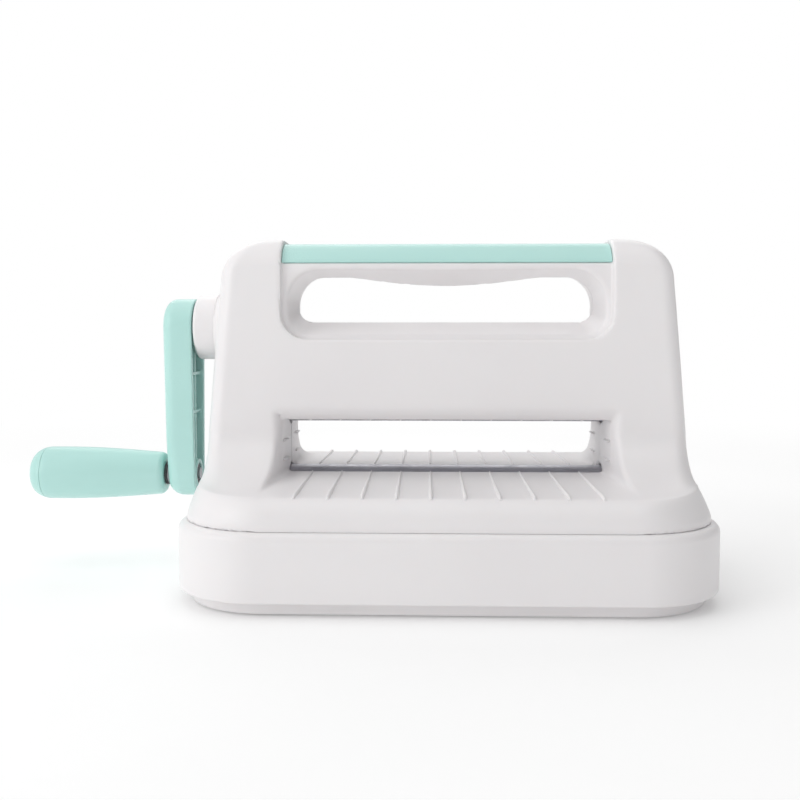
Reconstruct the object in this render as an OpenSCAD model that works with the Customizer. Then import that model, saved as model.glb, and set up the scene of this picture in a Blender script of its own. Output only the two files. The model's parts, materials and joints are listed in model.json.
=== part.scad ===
// Hand-cranked die cutting machine with a carrying handle.
// +X runs to the right, +Y to the back, +Z up. The origin is on the table, under the middle of the base.

/* [Body] */
// Width of the base skirt, left to right
base_w = 250; // [248:1:256]
// Depth of the base skirt, front to back
base_d = 192; // [190:1:200]
// Height of the handle posts above the table
body_h = 170; // [169:0.5:172]
// Wall thickness of the moulded shells
wall = 2.5; // [2:0.1:2.6]
// Depth of the pocket that the handle lies in
pocket_depth = 3; // [2:0.1:3.4]

/* [Feed slot] */
// Clear width between the side walls of the slot
slot_w = 161; // [150:1:161]
// Height of the top of the guide ribs above the table
rib_top_z = 53.4; // [53:0.1:54]
// Number of guide ribs on each platform
rib_count = 10; // [6:1:12]

/* [Rollers and gears] */
// Diameter of both steel rollers
roller_d = 22; // [21:0.5:23]
// Diameter of the roller journals and of the crank shaft
shaft_d = 12; // [10:1:12]

/* [Crank] */
// Distance from the crank shaft to the grip's axle
crank_radius = 76.5; // [72:0.5:80]
// Length of the grip with its end cap
grip_len = 70.5; // [64:0.5:80]
// Largest diameter of the grip
grip_d = 27.4; // [25:0.2:30]

/* [Hidden] */
white = "#efedee";
mint = "#b9e2db";
steel = "#a9abb2";
dark_steel = "#5d5b60";
bronze = "#b08d57";
nylon = "#e6dfcf";
rubber = "#3a3a3c";

part_gap = 0.1;        // between the two covers, and between parts that lie face to face
fit_gap = 0.05;        // radial clearance of a running fit
far = 300;             // longer than the whole object, for cuts that go right through

// Gears: one tooth size, with the rollers at the same speed
gear_module = 1.5;
roller_teeth = 30;
pinion_teeth = 20;

// Heights of the mechanism
lower_z = rib_top_z + 1 - roller_d / 2;
upper_z = lower_z + gear_module * roller_teeth;
crank_z = upper_z + gear_module * (roller_teeth + pinion_teeth) / 2;
grip_z = crank_z - crank_radius;
platform_z = rib_top_z - 0.9;
ceiling_z = upper_z - roller_d / 2 + 2.8;
shaft_r = shaft_d / 2;

// Heights of the shells
tray_z = 1;
skirt_z = 6.5;
seam_z = 37.3;
step_z = 51.2;         // where the front slope has levelled out
neck_z = 75.5;         // where it has become upright
foot_z = body_h - 22;  // where the rounded shoulders start
top_round = 16;        // rounding of the top, front to back

// Half widths and half depths of the shells
hem_w = base_w / 2 - 3.3;
hem_d = base_d / 2 - 3.2;
step_d = 82;
neck_d = 30.5;
crown_d = 27.5;
draft = 0.0855;        // how far the sides lean in, for each millimetre of height
shoulder_r = 22;
skirt_r = 41.7;
hem_r = 41;            // rounding of the hem's corners, seen from above
edge_r = 8;            // rounding of the upright edges
bar_d = crown_d - pocket_depth;               // half depth of the handle's white face

// Places of the mechanism along X, on the left
slot_x = slot_w / 2;
plate_x = 84.5;        // inner face of each side plate
plate_t = 4;
plate_z = 9.9;         // underside of the plates' feet
gear_x = 91.5;
gear_t = 10;
bearing_x = 104.5;
bearing_t = 3;
collar_x = 128.4;
collar_r = 16.4;
arm_x = 129.3;
arm_t = 15.5;
grip_x = arm_x + arm_t + 2;

well_d = roller_d / 2 + 2;                    // half depth of the gap that a roller lies in
tie_rods = [[-22, 111], [22, 111], [-30, 21], [30, 21]];
spacers = [[-22, 111], [22, 111], [-17, 140], [17, 140]];
frame_screw_at = [77, 38];
tray_screw_at = [101.5, 76];
foot_at = [90, 66];
cover_screw_at = [[-107.5, 72], [107.5, 72], [-97, 154], [97, 154]];
handle_screw_at = [[-50, 160], [50, 160]];
head_y = 12;           // where the heads of the cover screws bear

// ---- The moulded body, as rounded rectangles stacked from the seam to the crown ----

function ellipse_arc(cy, cz, ry, rz, a0, a1, n) =
  [for (i = [0:n]) let (a = a0 + (a1 - a0) * i / n) [cy + ry * cos(a), cz + rz * sin(a)]];

// Half depth and height along the side profile, from the seam up
side_profile = concat(
  [[hem_d, seam_z]],
  ellipse_arc(step_d, step_z - 11, hem_d - step_d, 11, 0, 84, 5),
  ellipse_arc(step_d, neck_z, step_d - neck_d, neck_z - step_z, 268, 180, 10),
  [[neck_d - 0.8, 110], [neck_d - 1.8, 136]],
  [for (a = [4:10:24]) [crown_d + 0.4 - a * 0.01, foot_z + 22 * sin(a) - 1]],
  ellipse_arc(crown_d - top_round, body_h - top_round, top_round, top_round, 15, 90, 5));

// The same profile moved inwards
function inward(p, t) = [for (i = [0:len(p) - 1])
  let (u = p[min(i + 1, len(p) - 1)] - p[max(i - 1, 0)]) p[i] + [-u[1], u[0]] * t / norm(u)];

// Half width at a height, of a shell moved inwards by t
function half_width(z, t) =
  let (r = shoulder_r - t, h = min(max(z - foot_z, 0), r - 0.01))
  hem_w - t - draft * (min(z, foot_z) - seam_z) - r + sqrt(r * r - h * h);

// Both radii of a ring's corners: circles on the upright body, long ellipses on the slope, circles at the hem
function corner_x(d) = edge_r + (hem_r - edge_r) * pow(min(max((d - neck_d) / (hem_d - neck_d), 0), 1), 1.3);
function corner_y(d, z) =
  d > step_d && z < step_z ? hem_r + 19 * max(0, 1 - (step_z - z) / 11)
  : edge_r + 52 * pow(min(max((d - neck_d) / (hem_d - neck_d), 0), 1), 0.8);

quarter_steps = 7;     // facets in each corner of a ring

function ring(w, d, rx, ry, z) = [for (q = [0:3], i = [0:quarter_steps])
  let (a = 90 * (q + i / quarter_steps), sx = (q == 0 || q == 3) ? 1 : -1, sy = q < 2 ? 1 : -1)
  [sx * (w - rx) + rx * cos(a), sy * (d - ry) + ry * sin(a), z]];

// A solid through rings of equally many points
module loft(rings) {
  n = len(rings[0]);
  m = len(rings);
  faces = concat(
    [[for (i = [0:n - 1]) i]],
    [[for (i = [n - 1:-1:0]) (m - 1) * n + i]],
    [for (k = [0:m - 2], i = [0:n - 1]) let (j = (i + 1) % n)
      [k * n + i, (k + 1) * n + i, (k + 1) * n + j, k * n + j]]);
  polyhedron([for (r = rings) each r], faces, convexity = 6);
}

// The body's outer shape, or its hollow when it is moved inwards by t
module bell(t = 0) {
  rows = concat(t > 0 ? [[hem_d - t, seam_z - 1]] : [], inward(side_profile, t));
  loft([for (p = rows) let (d = p[0] + t, rx = max(corner_x(d) - t, 2), ry = min(corner_y(d, p[1]), d * 0.85) - t)
    ring(half_width(p[1], t), p[0], rx, max(ry, 2), p[1])]);
}

// A solid spread out from an XZ outline along Y, from y0 to y1
module along_y(y0, y1) {
  translate([0, y1, 0]) rotate([90, 0, 0]) linear_extrude(y1 - y0) children();
}

// A solid spread out from a YZ outline along X, from x0 to x1
module along_x(x0, x1) {
  translate([x0, 0, 0]) rotate([90, 0, 90]) linear_extrude(x1 - x0) children();
}

// A round bar along X
module bar(x0, x1, y, z, r) {
  translate([x0, y, z]) rotate([0, 90, 0]) cylinder(h = x1 - x0, r = r, $fn = 48);
}

// A round bar along Y
module pin_y(y0, y1, x, z, r) {
  translate([x, y1, z]) rotate([90, 0, 0]) cylinder(h = y1 - y0, r = r, $fn = 24);
}

// ---- The handle's opening ----

hole_x = 76.2;         // half width at the waist
hole_z0 = 128.9;       // its lower edge
hole_z1 = 151.8;       // its upper edge at the ends
palm_drop = 4.4;       // how far the grip swells down in the middle
palm_x = 49.5;          // half width of that swelling
bevel_out = 2.6;       // how much wider the opening is at both faces
bevel_down = 7;        // and how much lower
pocket_x = slot_x + 1;
pocket_z = 120;        // lower edge of the pocket
trim_t = 2.4;
trim_z0 = 157.7;       // lower edge of the trim's two skirts
trim_z1 = body_h - 2;  // its top
trim_r = 14.5;         // rounding of its top edges
trim_lap = 0.5;        // how far its skirts stand out beyond the handle
tongue_d = bar_d - trim_t + trim_lap - part_gap;   // half depth of the handle inside the trim

function corner(cx, cz, r, a0) = [for (i = [0:5]) let (a = a0 + 18 * i) [cx + r * cos(a), cz + r * sin(a)]];

// Outline of the opening, grown by g, and by f at its foot, with its upper edge swelling down by drop
function hole_outline(g, f, drop) = let (r0 = 8 + g, r1 = 14 + g, x = hole_x + g, z0 = hole_z0 - f, z1 = hole_z1 + g)
  concat(
    corner(x - r0, z0 + r0, r0, -90),
    corner(x - r1, z1 - r1, r1, 0),
    [for (i = [0:10]) let (u = 1 - i / 5) [palm_x * u, z1 - drop * pow(1 - u * u, 1.3)]],
    corner(r1 - x, z1 - r1, r1, 90),
    corner(r0 - x, z0 + r0, r0, 180));

// The opening widens from its waist in the middle towards both faces
module handle_hole(grow = 0) {
  loft([for (side = [1, 0, -1])
    [for (p = hole_outline(grow + abs(side) * bevel_out, grow + abs(side) * bevel_down, palm_drop * (1 - abs(side))))
      [p[0], side * (bar_d + 1), p[1]]]]);
  for (y = [bar_d + 1, -bar_d - 1 - far]) loft([for (d = [far, 0])
    [for (p = hole_outline(grow + bevel_out, grow + bevel_down, 0)) [p[0], y + d, p[1]]]]);
}

// ---- The covers ----

module pocket_outline(inset = 0) {
  r = 13;
  x = pocket_x - inset;
  z = pocket_z + inset;
  polygon(concat(
    [[x, body_h + 20]],
    [for (i = [0:5]) let (a = -18 * i) [x - r + r * cos(a), z + r + r * sin(a)]],
    [for (i = [0:5]) let (a = -90 - 18 * i) [r - x + r * cos(a), z + r + r * sin(a)]],
    [[-x, body_h + 20]]));
}

// Section of the handle under its trim: half depth, height and rounding
module handle_section(d, z, r) {
  polygon(concat([[d, 90]], ellipse_arc(d - r, z - r, r, r, 0, 90, 6),
                 ellipse_arc(r - d, z - r, r, r, 90, 180, 6), [[-d, 90]]));
}

// Everything that the pocket takes off the body, in front of the handle and above it
module pocket() {
  difference() {
    along_y(-60, 60) pocket_outline();
    along_x(-far, far) {
      handle_section(tongue_d, trim_z1 - trim_t, trim_r - trim_t);
      intersection() {
        handle_section(bar_d, trim_z1 - trim_t, trim_r - trim_t);
        translate([-60, 0]) square([120, trim_z0 - part_gap]);
      }
    }
  }
}

// The floor of the way through falls gently outwards
function floor_z(y) = platform_z - (platform_z - step_z) * min(max((y - well_d) / (step_d - well_d), 0), 1);

// Sections of the way through: distance from the middle, half width at the floor and on top, and height
way = [[-1, slot_x, slot_x, ceiling_z], [well_d, slot_x, slot_x, ceiling_z],
       [neck_d - 4, slot_x + 0.7, slot_x + 0.7, ceiling_z], [neck_d + 0.6, slot_x + 1, slot_x + 4.3, ceiling_z + 5],
       [step_d - 20, slot_x + 3.4, slot_x + 9, ceiling_z + 14], [step_d, slot_x + 4.4, slot_x + 10, ceiling_z + 20],
       [step_d + 50, slot_x + 5, slot_x + 11, ceiling_z + 20]];

rear_spread = 0.25;    // how much the way widens at the back, as a share of the front

// One half of the way for plates and paper, or with t the block of wall around it
module slot_way(t = 0, spread = 1) {
  loft([for (s = way)
    let (z0 = floor_z(s[0]) - t - (s[0] > step_d && t > 0 ? 14 : 0),
         x0 = slot_x + (s[1] - slot_x) * spread + t,
         x1 = slot_x + (s[2] - slot_x) * spread + t)
    [[-x0, -s[0], z0], [x0, -s[0], z0], [x1, -s[0], s[3] + t], [-x1, -s[0], s[3] + t]]]);
}

// Walls around the slot, open where the rollers lie
module slot_walls(spread = 1) {
  difference() {
    union() {
      slot_way(wall, spread);
      for (z = [lower_z - 6, ceiling_z]) translate([-slot_x - wall, -well_d - wall, z])
        cube([slot_w + 2 * wall, wall, 16]);
    }
    translate([-slot_x, -well_d, 0]) cube([slot_w, 40, 200]);
  }
}

function rib_x(i) = (i - (rib_count - 1) / 2) * (slot_w - 26) / (rib_count - 1);
rib_end = step_d + 4;

// Guide ribs that lead the plates in, thin at the roller and blunt at the outer end
module ribs() {
  for (i = [0:rib_count - 1]) hull() {
    translate([rib_x(i) - 0.4, -well_d - 3, platform_z - 1]) cube([0.8, 1, rib_top_z - platform_z + 1]);
    translate([rib_x(i) - 0.9, 3 - rib_end, step_z - 1.5]) cube([1.8, 1, 2.9]);
    translate([rib_x(i) - 0.5, -rib_end, step_z - 1.5]) cube([1, 1, 2.3]);
  }
  // Short ribs under the ceiling
  for (i = [0:rib_count - 1]) translate([rib_x(i) - 0.6, 4.5 - neck_d, ceiling_z - 0.7])
    cube([1.2, neck_d - well_d - 5, 1.5]);
  // Two level ribs on each side wall
  for (s = [-1, 1], z = [60, 69.5]) translate([s * (slot_x - 0.2) - 0.6, 3.5 - neck_d, z - 0.4])
    cube([1.2, neck_d - well_d - 4.5, 0.8]);
}

// Holes for the rollers, the crank collar and the screws between the covers
module cover_holes() {
  for (z = [lower_z, upper_z]) bar(-plate_x + 1, plate_x - 1, 0, z, roller_d / 2 + 1);
  bar(-far, -90, 0, crank_z, collar_r + 0.2);
  for (p = concat(cover_screw_at, handle_screw_at)) {
    pin_y(-10, head_y + 1, p[0], p[1], 1.5);
    pin_y(head_y, 130, p[0], p[1], 3.3);
  }
}

// What stays solid inside the covers: walls round every opening, and the screws' bosses
module inner_walls() {
  slot_walls();
  mirror([0, 1, 0]) slot_walls(rear_spread);
  handle_hole(wall);
  difference() {
    along_y(-60, 60) pocket_outline(-wall);
    along_x(-far, far) handle_section(tongue_d - wall, trim_z1 - trim_t - wall, trim_r - trim_t - wall);
    translate([-far, -60, 90]) cube([2 * far, 120, pocket_z - 90 - wall]);
  }
  for (p = concat(cover_screw_at, handle_screw_at)) pin_y(-60, 60, p[0], p[1], 4.5);
}

// Both covers as one hollow body
module body_shell() {
  difference() {
    union() {
      bell();
      // Raised ring around the crank collar
      translate([-117.5, 0, crank_z]) rotate([0, 90, 0]) cylinder(h = 10, r1 = 17.4, r2 = 23, $fn = 40);
    }
    difference() {
      bell(wall);
      inner_walls();
    }
    slot_way();
    mirror([0, 1, 0]) slot_way(0, rear_spread);
    translate([-slot_x, -well_d, 0]) cube([slot_w, 2 * well_d, upper_z + 8]);
    handle_hole();
    pocket();
    cover_holes();
  }
}

module front_cover() {
  color(white) {
    intersection() {
      body_shell();
      translate([-far, -far, 0]) cube([2 * far, far - part_gap / 2, far]);
    }
    ribs();
  }
}

module rear_cover() {
  color(white) {
    intersection() {
      body_shell();
      translate([-far, part_gap / 2, 0]) cube([2 * far, far, far]);
    }
    mirror([0, 1, 0]) ribs();
  }
}

// ---- The base ----

module rounded_plate(w, d, r, z0, z1) {
  translate([0, 0, z0]) linear_extrude(z1 - z0) {
    square([2 * (w - r), 2 * d], center = true);
    square([2 * w, 2 * (d - r)], center = true);
    for (sx = [-1, 1], sy = [-1, 1]) translate([sx * (w - r), sy * (d - r)]) circle(r = r, $fn = 64);
  }
}

module at_corners(p) {
  for (sx = [-1, 1], sy = [-1, 1]) translate([sx * p[0], sy * p[1], 0]) children();
}

skirt_round = 4;       // rounding of the skirt's upper edge

// Half section of the skirt's outside, from the corner's centre outwards
module skirt_section() {
  top = seam_z - part_gap;
  translate([0, skirt_z]) square([skirt_r, top - skirt_round - skirt_z]);
  translate([0, top - skirt_round]) square([skirt_r - skirt_round, skirt_round]);
  translate([skirt_r - skirt_round, top - skirt_round]) intersection() {
    circle(r = skirt_round, $fn = 48);
    square(skirt_round);
  }
}

// The skirt's outside: four turned corners, four straight sides and the middle, set face to face
module skirt_block() {
  w = base_w / 2 - skirt_r;
  d = base_d / 2 - skirt_r;
  translate([-w, -d, skirt_z]) cube([2 * w, 2 * d, seam_z - part_gap - skirt_z]);
  for (x = [0, 1], y = [0, 1]) mirror([x, 0, 0]) mirror([0, y, 0])
    translate([w, d, 0]) rotate_extrude(angle = 90, $fn = 96) skirt_section();
  for (m = [0, 1]) {
    mirror([m, 0, 0]) translate([w, 0, 0]) rotate([90, 0, 0]) linear_extrude(2 * d, center = true) skirt_section();
    mirror([0, m, 0]) translate([0, d, 0]) rotate([90, 0, 90]) linear_extrude(2 * w, center = true) skirt_section();
  }
}

module base_skirt() {
  w = base_w / 2;
  d = base_d / 2;
  color(white) difference() {
    union() {
      difference() {
        skirt_block();
        rounded_plate(w - wall, d - wall, skirt_r - wall, skirt_z - 1, seam_z - wall - 1);
        rounded_plate(w - 11, d - 11, skirt_r - 11, skirt_z, seam_z + 1);
      }
      at_corners(tray_screw_at) translate([0, 0, 10]) cylinder(h = seam_z - 11, r = 4.6, $fn = 32);
    }
    at_corners(tray_screw_at) translate([0, 0, 5]) cylinder(h = 18, r = 1.5, $fn = 24);
  }
}

module bottom_tray() {
  w = base_w / 2 - 5.5;
  d = base_d / 2 - 5.3;
  r = skirt_r - 3;
  rim = wall + 0.3;
  color(white) difference() {
    union() {
      rounded_plate(w, d, r, tray_z, skirt_z - part_gap);
      rounded_plate(base_w / 2 - rim, base_d / 2 - rim, skirt_r - rim, skirt_z + part_gap, plate_z - part_gap);
      rounded_plate(w - 1, d - 1, r - 1, tray_z, plate_z - part_gap);
    }
    difference() {
      rounded_plate(w - wall, d - wall, r - wall, tray_z + wall, 20);
      at_corners(frame_screw_at) cylinder(h = 30, r = 6, $fn = 32);
      at_corners(tray_screw_at) cylinder(h = 30, r = 5, $fn = 32);
    }
    at_corners(frame_screw_at) screw_hole(2.2, 4);
    at_corners(tray_screw_at) screw_hole(1.9, 3.6);
    at_corners(foot_at) cylinder(h = tray_z + 1.2, r = 8.2, $fn = 32);
  }
}

// A hole from below with a counterbore for the screw's head
module screw_hole(r, head_r) {
  cylinder(h = 20, r = r, $fn = 24);
  cylinder(h = 4.2, r = head_r, $fn = 24);
}

module rubber_feet() {
  color(rubber) at_corners(foot_at) cylinder(h = tray_z + 1.2 - part_gap, r = 8, $fn = 40);
}

// The coloured trim clips over the handle between its two posts
module handle_trim() {
  color(mint) along_x(0.2 - pocket_x, pocket_x - 0.2) difference() {
    trim_section(bar_d + trim_lap, trim_z1, trim_r);
    trim_section(bar_d - trim_t + trim_lap, trim_z1 - trim_t + part_gap, trim_r - trim_t);
    translate([-60, 0]) square([120, trim_z0]);
  }
}

module trim_section(d, z, r) {
  translate([-d, 90]) square([2 * d, z - r - 90]);
  translate([-d + r, 90]) square([2 * (d - r), z - 90]);
  for (s = [-1, 1]) translate([s * (d - r), z - r]) circle(r = r, $fn = 64);
}

// ---- The steel frame ----

// Outline of a side plate: a wide foot and an upright part as deep as the body allows
module plate_outline(top) {
  polygon([[-46, plate_z], [46, plate_z], [46, 26], [25.5, 48], [25.5, top - 14], [21, top],
           [-21, top], [-25.5, top - 14], [-25.5, 48], [-46, 26]]);
}

// A side plate on the side that s gives, folded inwards at its foot
module side_plate(s, top, crank) {
  difference() {
    union() {
      along_x(min(s * plate_x, s * (plate_x + plate_t)), max(s * plate_x, s * (plate_x + plate_t)))
        plate_outline(top);
      translate([s > 0 ? plate_x - 14 : -plate_x - plate_t, -46, plate_z]) cube([14 + plate_t, 92, 3.5]);
    }
    for (z = [lower_z, upper_z]) bar(-far, far, 0, z, shaft_r + 2);
    for (p = tie_rods) bar(-far, far, p[0], p[1], 2.6);
    if (crank) {
      bar(-far, far, 0, crank_z, shaft_r + 2);
      for (p = spacers) bar(-far, far, p[0], p[1], 2.6);
    }
    at_corners(frame_screw_at) cylinder(h = 20, r = 2.2, $fn = 24);
  }
}

module left_side_plate() {
  color(steel) side_plate(-1, 148, true);
}

module right_side_plate() {
  color(steel) side_plate(1, 119, false);
}

module tie_rods() {
  x = plate_x - part_gap;
  color(steel) for (p = tie_rods) difference() {
    bar(-x, x, p[0], p[1], 4);
    for (s = [-1, 1]) bar(s > 0 ? x - 12 : -x - 1, s > 0 ? x + 1 : -x + 12, p[0], p[1], 2.5);
  }
}

// A cap screw along X: its head lies on face x and points the way s gives
module cap_screw(x, y, z, s, length, r, head_r, head_h) {
  a = s * part_gap;
  bar(min(x + a, x + a + s * head_h), max(x + a, x + a + s * head_h), y, z, head_r);
  bar(min(x + s * 0.5, x - s * length), max(x + s * 0.5, x - s * length), y, z, r);
}

module tie_rod_screws() {
  color(dark_steel) {
    for (p = tie_rods) cap_screw(plate_x + plate_t, p[0], p[1], 1, 12, 2.4, 4.2, 3);
    for (i = [2, 3]) cap_screw(-plate_x - plate_t, tie_rods[i][0], tie_rods[i][1], -1, 12, 2.4, 4.2, 3);
  }
}

// The outer plate that carries the crank shaft beyond its pinion
module bearing_plate() {
  color(steel) difference() {
    along_x(-bearing_x - bearing_t, -bearing_x)
      polygon([[-26.5, 106.5], [26.5, 106.5], [26.5, 115], [21.5, 145], [-21.5, 145], [-26.5, 115]]);
    bar(-far, far, 0, crank_z, shaft_r + 2);
    for (p = spacers) bar(-far, far, p[0], p[1], 2.6);
  }
}

module bearing_spacers() {
  color(steel) for (p = spacers) difference() {
    bar(-bearing_x + part_gap, -plate_x - plate_t - part_gap, p[0], p[1], 3.8);
    bar(-far, 0, p[0], p[1], 2.5);
  }
}

module bearing_plate_screws() {
  color(dark_steel) for (i = [0:3])
    cap_screw(-bearing_x - bearing_t, spacers[i][0], spacers[i][1], -1, i < 2 ? 34 : 23.4, 2.4, 4, 2.2);
}

module roller_bushes() {
  color(bronze) for (s = [-1, 1], z = [lower_z, upper_z]) bush(s * (plate_x + plate_t), z, s, plate_t + 0.2);
}

// A flanged bush whose flange lies against face x, on the side that s gives
module bush(x, z, s, length) {
  difference() {
    union() {
      bar(min(x + s * 0.5, x - s * length), max(x + s * 0.5, x - s * length), 0, z, shaft_r + 2 - 0.02);
      bar(min(x + s * 0.1, x + s * 1.3), max(x + s * 0.1, x + s * 1.3), 0, z, shaft_r + 4);
    }
    bar(-far, far, 0, z, shaft_r + fit_gap);
  }
}

module crank_bushes() {
  color(bronze) {
    bush(-plate_x - plate_t, crank_z, -1, plate_t + 0.2);
    bush(-bearing_x - bearing_t, crank_z, -1, bearing_t + 0.2);
  }
}

// ---- Rollers and gears ----

flat = 1.2;            // how deep the driving flat is cut into a shaft

// A shaft's outline with one flat, in the YZ plane around height z
module flatted(z, r) {
  difference() {
    translate([0, z]) circle(r = r, $fn = 48);
    translate([-r, z + r - flat]) square([2 * r, r]);
  }
}

module roller(z) {
  x = plate_x - 1;
  difference() {
    union() {
      bar(-x, x, 0, z, roller_d / 2);
      bar(-gear_x + 0.5, plate_x + plate_t + 4.5, 0, z, shaft_r);
      along_x(-gear_x - gear_t - 3, -gear_x + 0.5) flatted(z, shaft_r);
    }
    // Grooves for the retaining clips
    for (x0 = [plate_x + plate_t + 2, -gear_x - gear_t - 1.6])
      clip_groove(x0, z);
  }
}

module clip_groove(x0, z) {
  difference() {
    bar(x0 - 0.6, x0 + 0.6, 0, z, shaft_r + 2);
    bar(x0 - 1, x0 + 1, 0, z, shaft_r - 1.6);
  }
}

// An open retaining clip in a groove at x0
module clip(x0, z) {
  difference() {
    bar(x0 - 0.5, x0 + 0.5, 0, z, shaft_r + 2.6);
    bar(x0 - 1, x0 + 1, 0, z, shaft_r - 1.55);
    translate([x0 - 1, -2.6, z - 20]) cube([2, 5.2, 20]);
  }
}

module upper_roller() {
  color(steel) roller(upper_z);
}

module lower_roller() {
  color(steel) roller(lower_z);
}

module roller_clips(z) {
  color(dark_steel) for (x0 = [plate_x + plate_t + 2, -gear_x - gear_t - 1.6]) clip(x0, z);
}

module upper_roller_clips() {
  roller_clips(upper_z);
}

module lower_roller_clips() {
  roller_clips(lower_z);
}

pressure_angle = 20;
backlash = 0.1;        // taken off each tooth's thickness, measured on the pitch circle

function involute_angle(base_r, r) = let (t = sqrt(max(pow(r / base_r, 2) - 1, 0))) t * 180 / PI - atan(t);

// Half of a tooth's angle at radius r
function tooth_half_angle(teeth, r) =
  let (pitch_r = gear_module * teeth / 2, base_r = pitch_r * cos(pressure_angle))
  (gear_module * PI / 4 - backlash / 2) / pitch_r * 180 / PI
  + involute_angle(base_r, pitch_r) - involute_angle(base_r, max(r, base_r));

// Involute gear outline with one tooth that points along +Y of the outline
module gear_outline(teeth) {
  pitch_r = gear_module * teeth / 2;
  tip_r = pitch_r + 0.95 * gear_module;
  root_r = pitch_r - 1.25 * gear_module;
  flank = [for (i = [0:5]) root_r + (tip_r - root_r) * pow(i / 5, 0.8)];
  polygon([for (k = [0:teeth - 1]) let (c = 90 - 360 * k / teeth) each concat(
    [for (r = flank) let (a = c + tooth_half_angle(teeth, r)) [r * cos(a), r * sin(a)]],
    [for (i = [5:-1:0]) let (r = flank[i], a = c - tooth_half_angle(teeth, r)) [r * cos(a), r * sin(a)]])]);
}

// A gear on the shaft at height z, turned by an angle, with its thin web and its flatted bore
module gear(teeth, z, turn, x0, t, web) {
  difference() {
    along_x(-x0 - t, -x0) translate([0, z]) rotate(turn) gear_outline(teeth);
    along_x(-x0 - t - 1, -x0 + 1) flatted(z, shaft_r + 0.02);
    if (web) for (x = [-x0 - t - 1, -x0 - 2.5]) difference() {
      bar(x, x + 3.5, 0, z, gear_module * teeth / 2 - 4.5);
      bar(x - 1, x + 5, 0, z, shaft_r + 4);
    }
  }
}

module upper_roller_gear() {
  color(nylon) gear(roller_teeth, upper_z, 0, gear_x, gear_t, true);
}

module lower_roller_gear() {
  color(nylon) gear(roller_teeth, lower_z, 180 / roller_teeth, gear_x, gear_t, true);
}

// ---- Screws in the base and the covers ----

// A pan-headed screw along Z with its head below
module screw_up(z, head_r, head_h, r, length) {
  translate([0, 0, z]) cylinder(h = head_h, r = head_r, $fn = 32);
  translate([0, 0, z]) cylinder(h = length, r = r, $fn = 24);
}

module frame_screws() {
  color(dark_steel) at_corners(frame_screw_at) screw_up(1.6, 3.8, 2.5, 2, 14.5);
}

module tray_screws() {
  color(dark_steel) at_corners(tray_screw_at) screw_up(1.6, 3.4, 2.5, 1.45, 18);
}

// Screws from the back, sunk in the rear cover
module screws_from_back(places) {
  color(dark_steel) for (p = places) {
    pin_y(head_y + part_gap, head_y + 2.4, p[0], p[1], 3);
    pin_y(-9, head_y + part_gap, p[0], p[1], 1.45);
  }
}

module cover_screws() {
  screws_from_back(cover_screw_at);
}

module handle_screws() {
  screws_from_back(handle_screw_at);
}

// ---- The crank ----

collar_edge = 1.5;     // rounding of the collar's outer edge

// The white collar that the crank shaft comes out of, with a hidden flange inside the covers
module crank_collar() {
  color(white) difference() {
    union() {
      bar(-collar_x + collar_edge, -110, 0, crank_z, collar_r);
      bar(-110.2, -108.9, 0, crank_z, 17.8);
      bar(-collar_x, -110, 0, crank_z, collar_r - collar_edge);
      translate([-collar_x + collar_edge, 0, crank_z]) rotate([0, 90, 0]) rotate_extrude($fn = 64)
        translate([collar_r - collar_edge, 0]) circle(r = collar_edge, $fn = 32);
    }
    bar(-far, 0, 0, crank_z, shaft_r + 0.8);
    bar(-112.5, -100, 0, crank_z, 13);
  }
}

module crank_shaft() {
  color(steel) difference() {
    union() {
      bar(-gear_x + 0.5, -plate_x + 3.2, 0, crank_z, shaft_r);
      along_x(-gear_x - gear_t - 0.5, -gear_x + 0.5) flatted(crank_z, shaft_r);
      bar(-arm_x + 0.5, -gear_x - gear_t - 0.5, 0, crank_z, shaft_r);
      along_x(-arm_x - 10, -arm_x + 0.5) flatted(crank_z, shaft_r);
    }
    bar(-arm_x - 11, -arm_x + 6, 0, crank_z, 2.1);
    for (x0 = [-plate_x + 1.8, -bearing_x - bearing_t - 2.2]) clip_groove(x0, crank_z);
  }
}

module crank_shaft_clips() {
  color(dark_steel) for (x0 = [-plate_x + 1.8, -bearing_x - bearing_t - 2.2]) clip(x0, crank_z);
}

module drive_pinion() {
  color(nylon) gear(pinion_teeth, crank_z, 180 / pinion_teeth, gear_x, gear_t, false);
}

arm_top_r = 14.9;
arm_end_r = 11.5;
arm_edge = 6;          // rounding of the arm's outer edge
arm_wall = 3;
arm_ribs = [102, 82];
arm_setback = 1.6;     // how far the ribs lie below the rim

// A disc with a rounded outer edge, on the crank's plane
module rounded_disc(z, r, x0, x1, edge) {
  translate([x1, 0, z]) rotate([0, -90, 0]) rotate_extrude($fn = 32) polygon(concat(
    [[0, 0], [r, 0]], ellipse_arc(r - edge, x1 - x0 - edge, edge, edge, 0, 90, 5), [[0, x1 - x0]]));
}

// Outline of the arm between both ends, drawn with true arcs and tangent sides
module arm_outline(inset) {
  r0 = arm_top_r - inset;
  r1 = arm_end_r - inset;
  s = (r0 - r1) / crank_radius;
  c = sqrt(1 - s * s);
  translate([0, crank_z]) circle(r = r0, $fn = 64);
  translate([0, grip_z]) circle(r = r1, $fn = 64);
  polygon([[r0 * c, crank_z - r0 * s], [r1 * c, grip_z - r1 * s], [-r1 * c, grip_z - r1 * s], [-r0 * c, crank_z - r0 * s]]);
}

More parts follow.
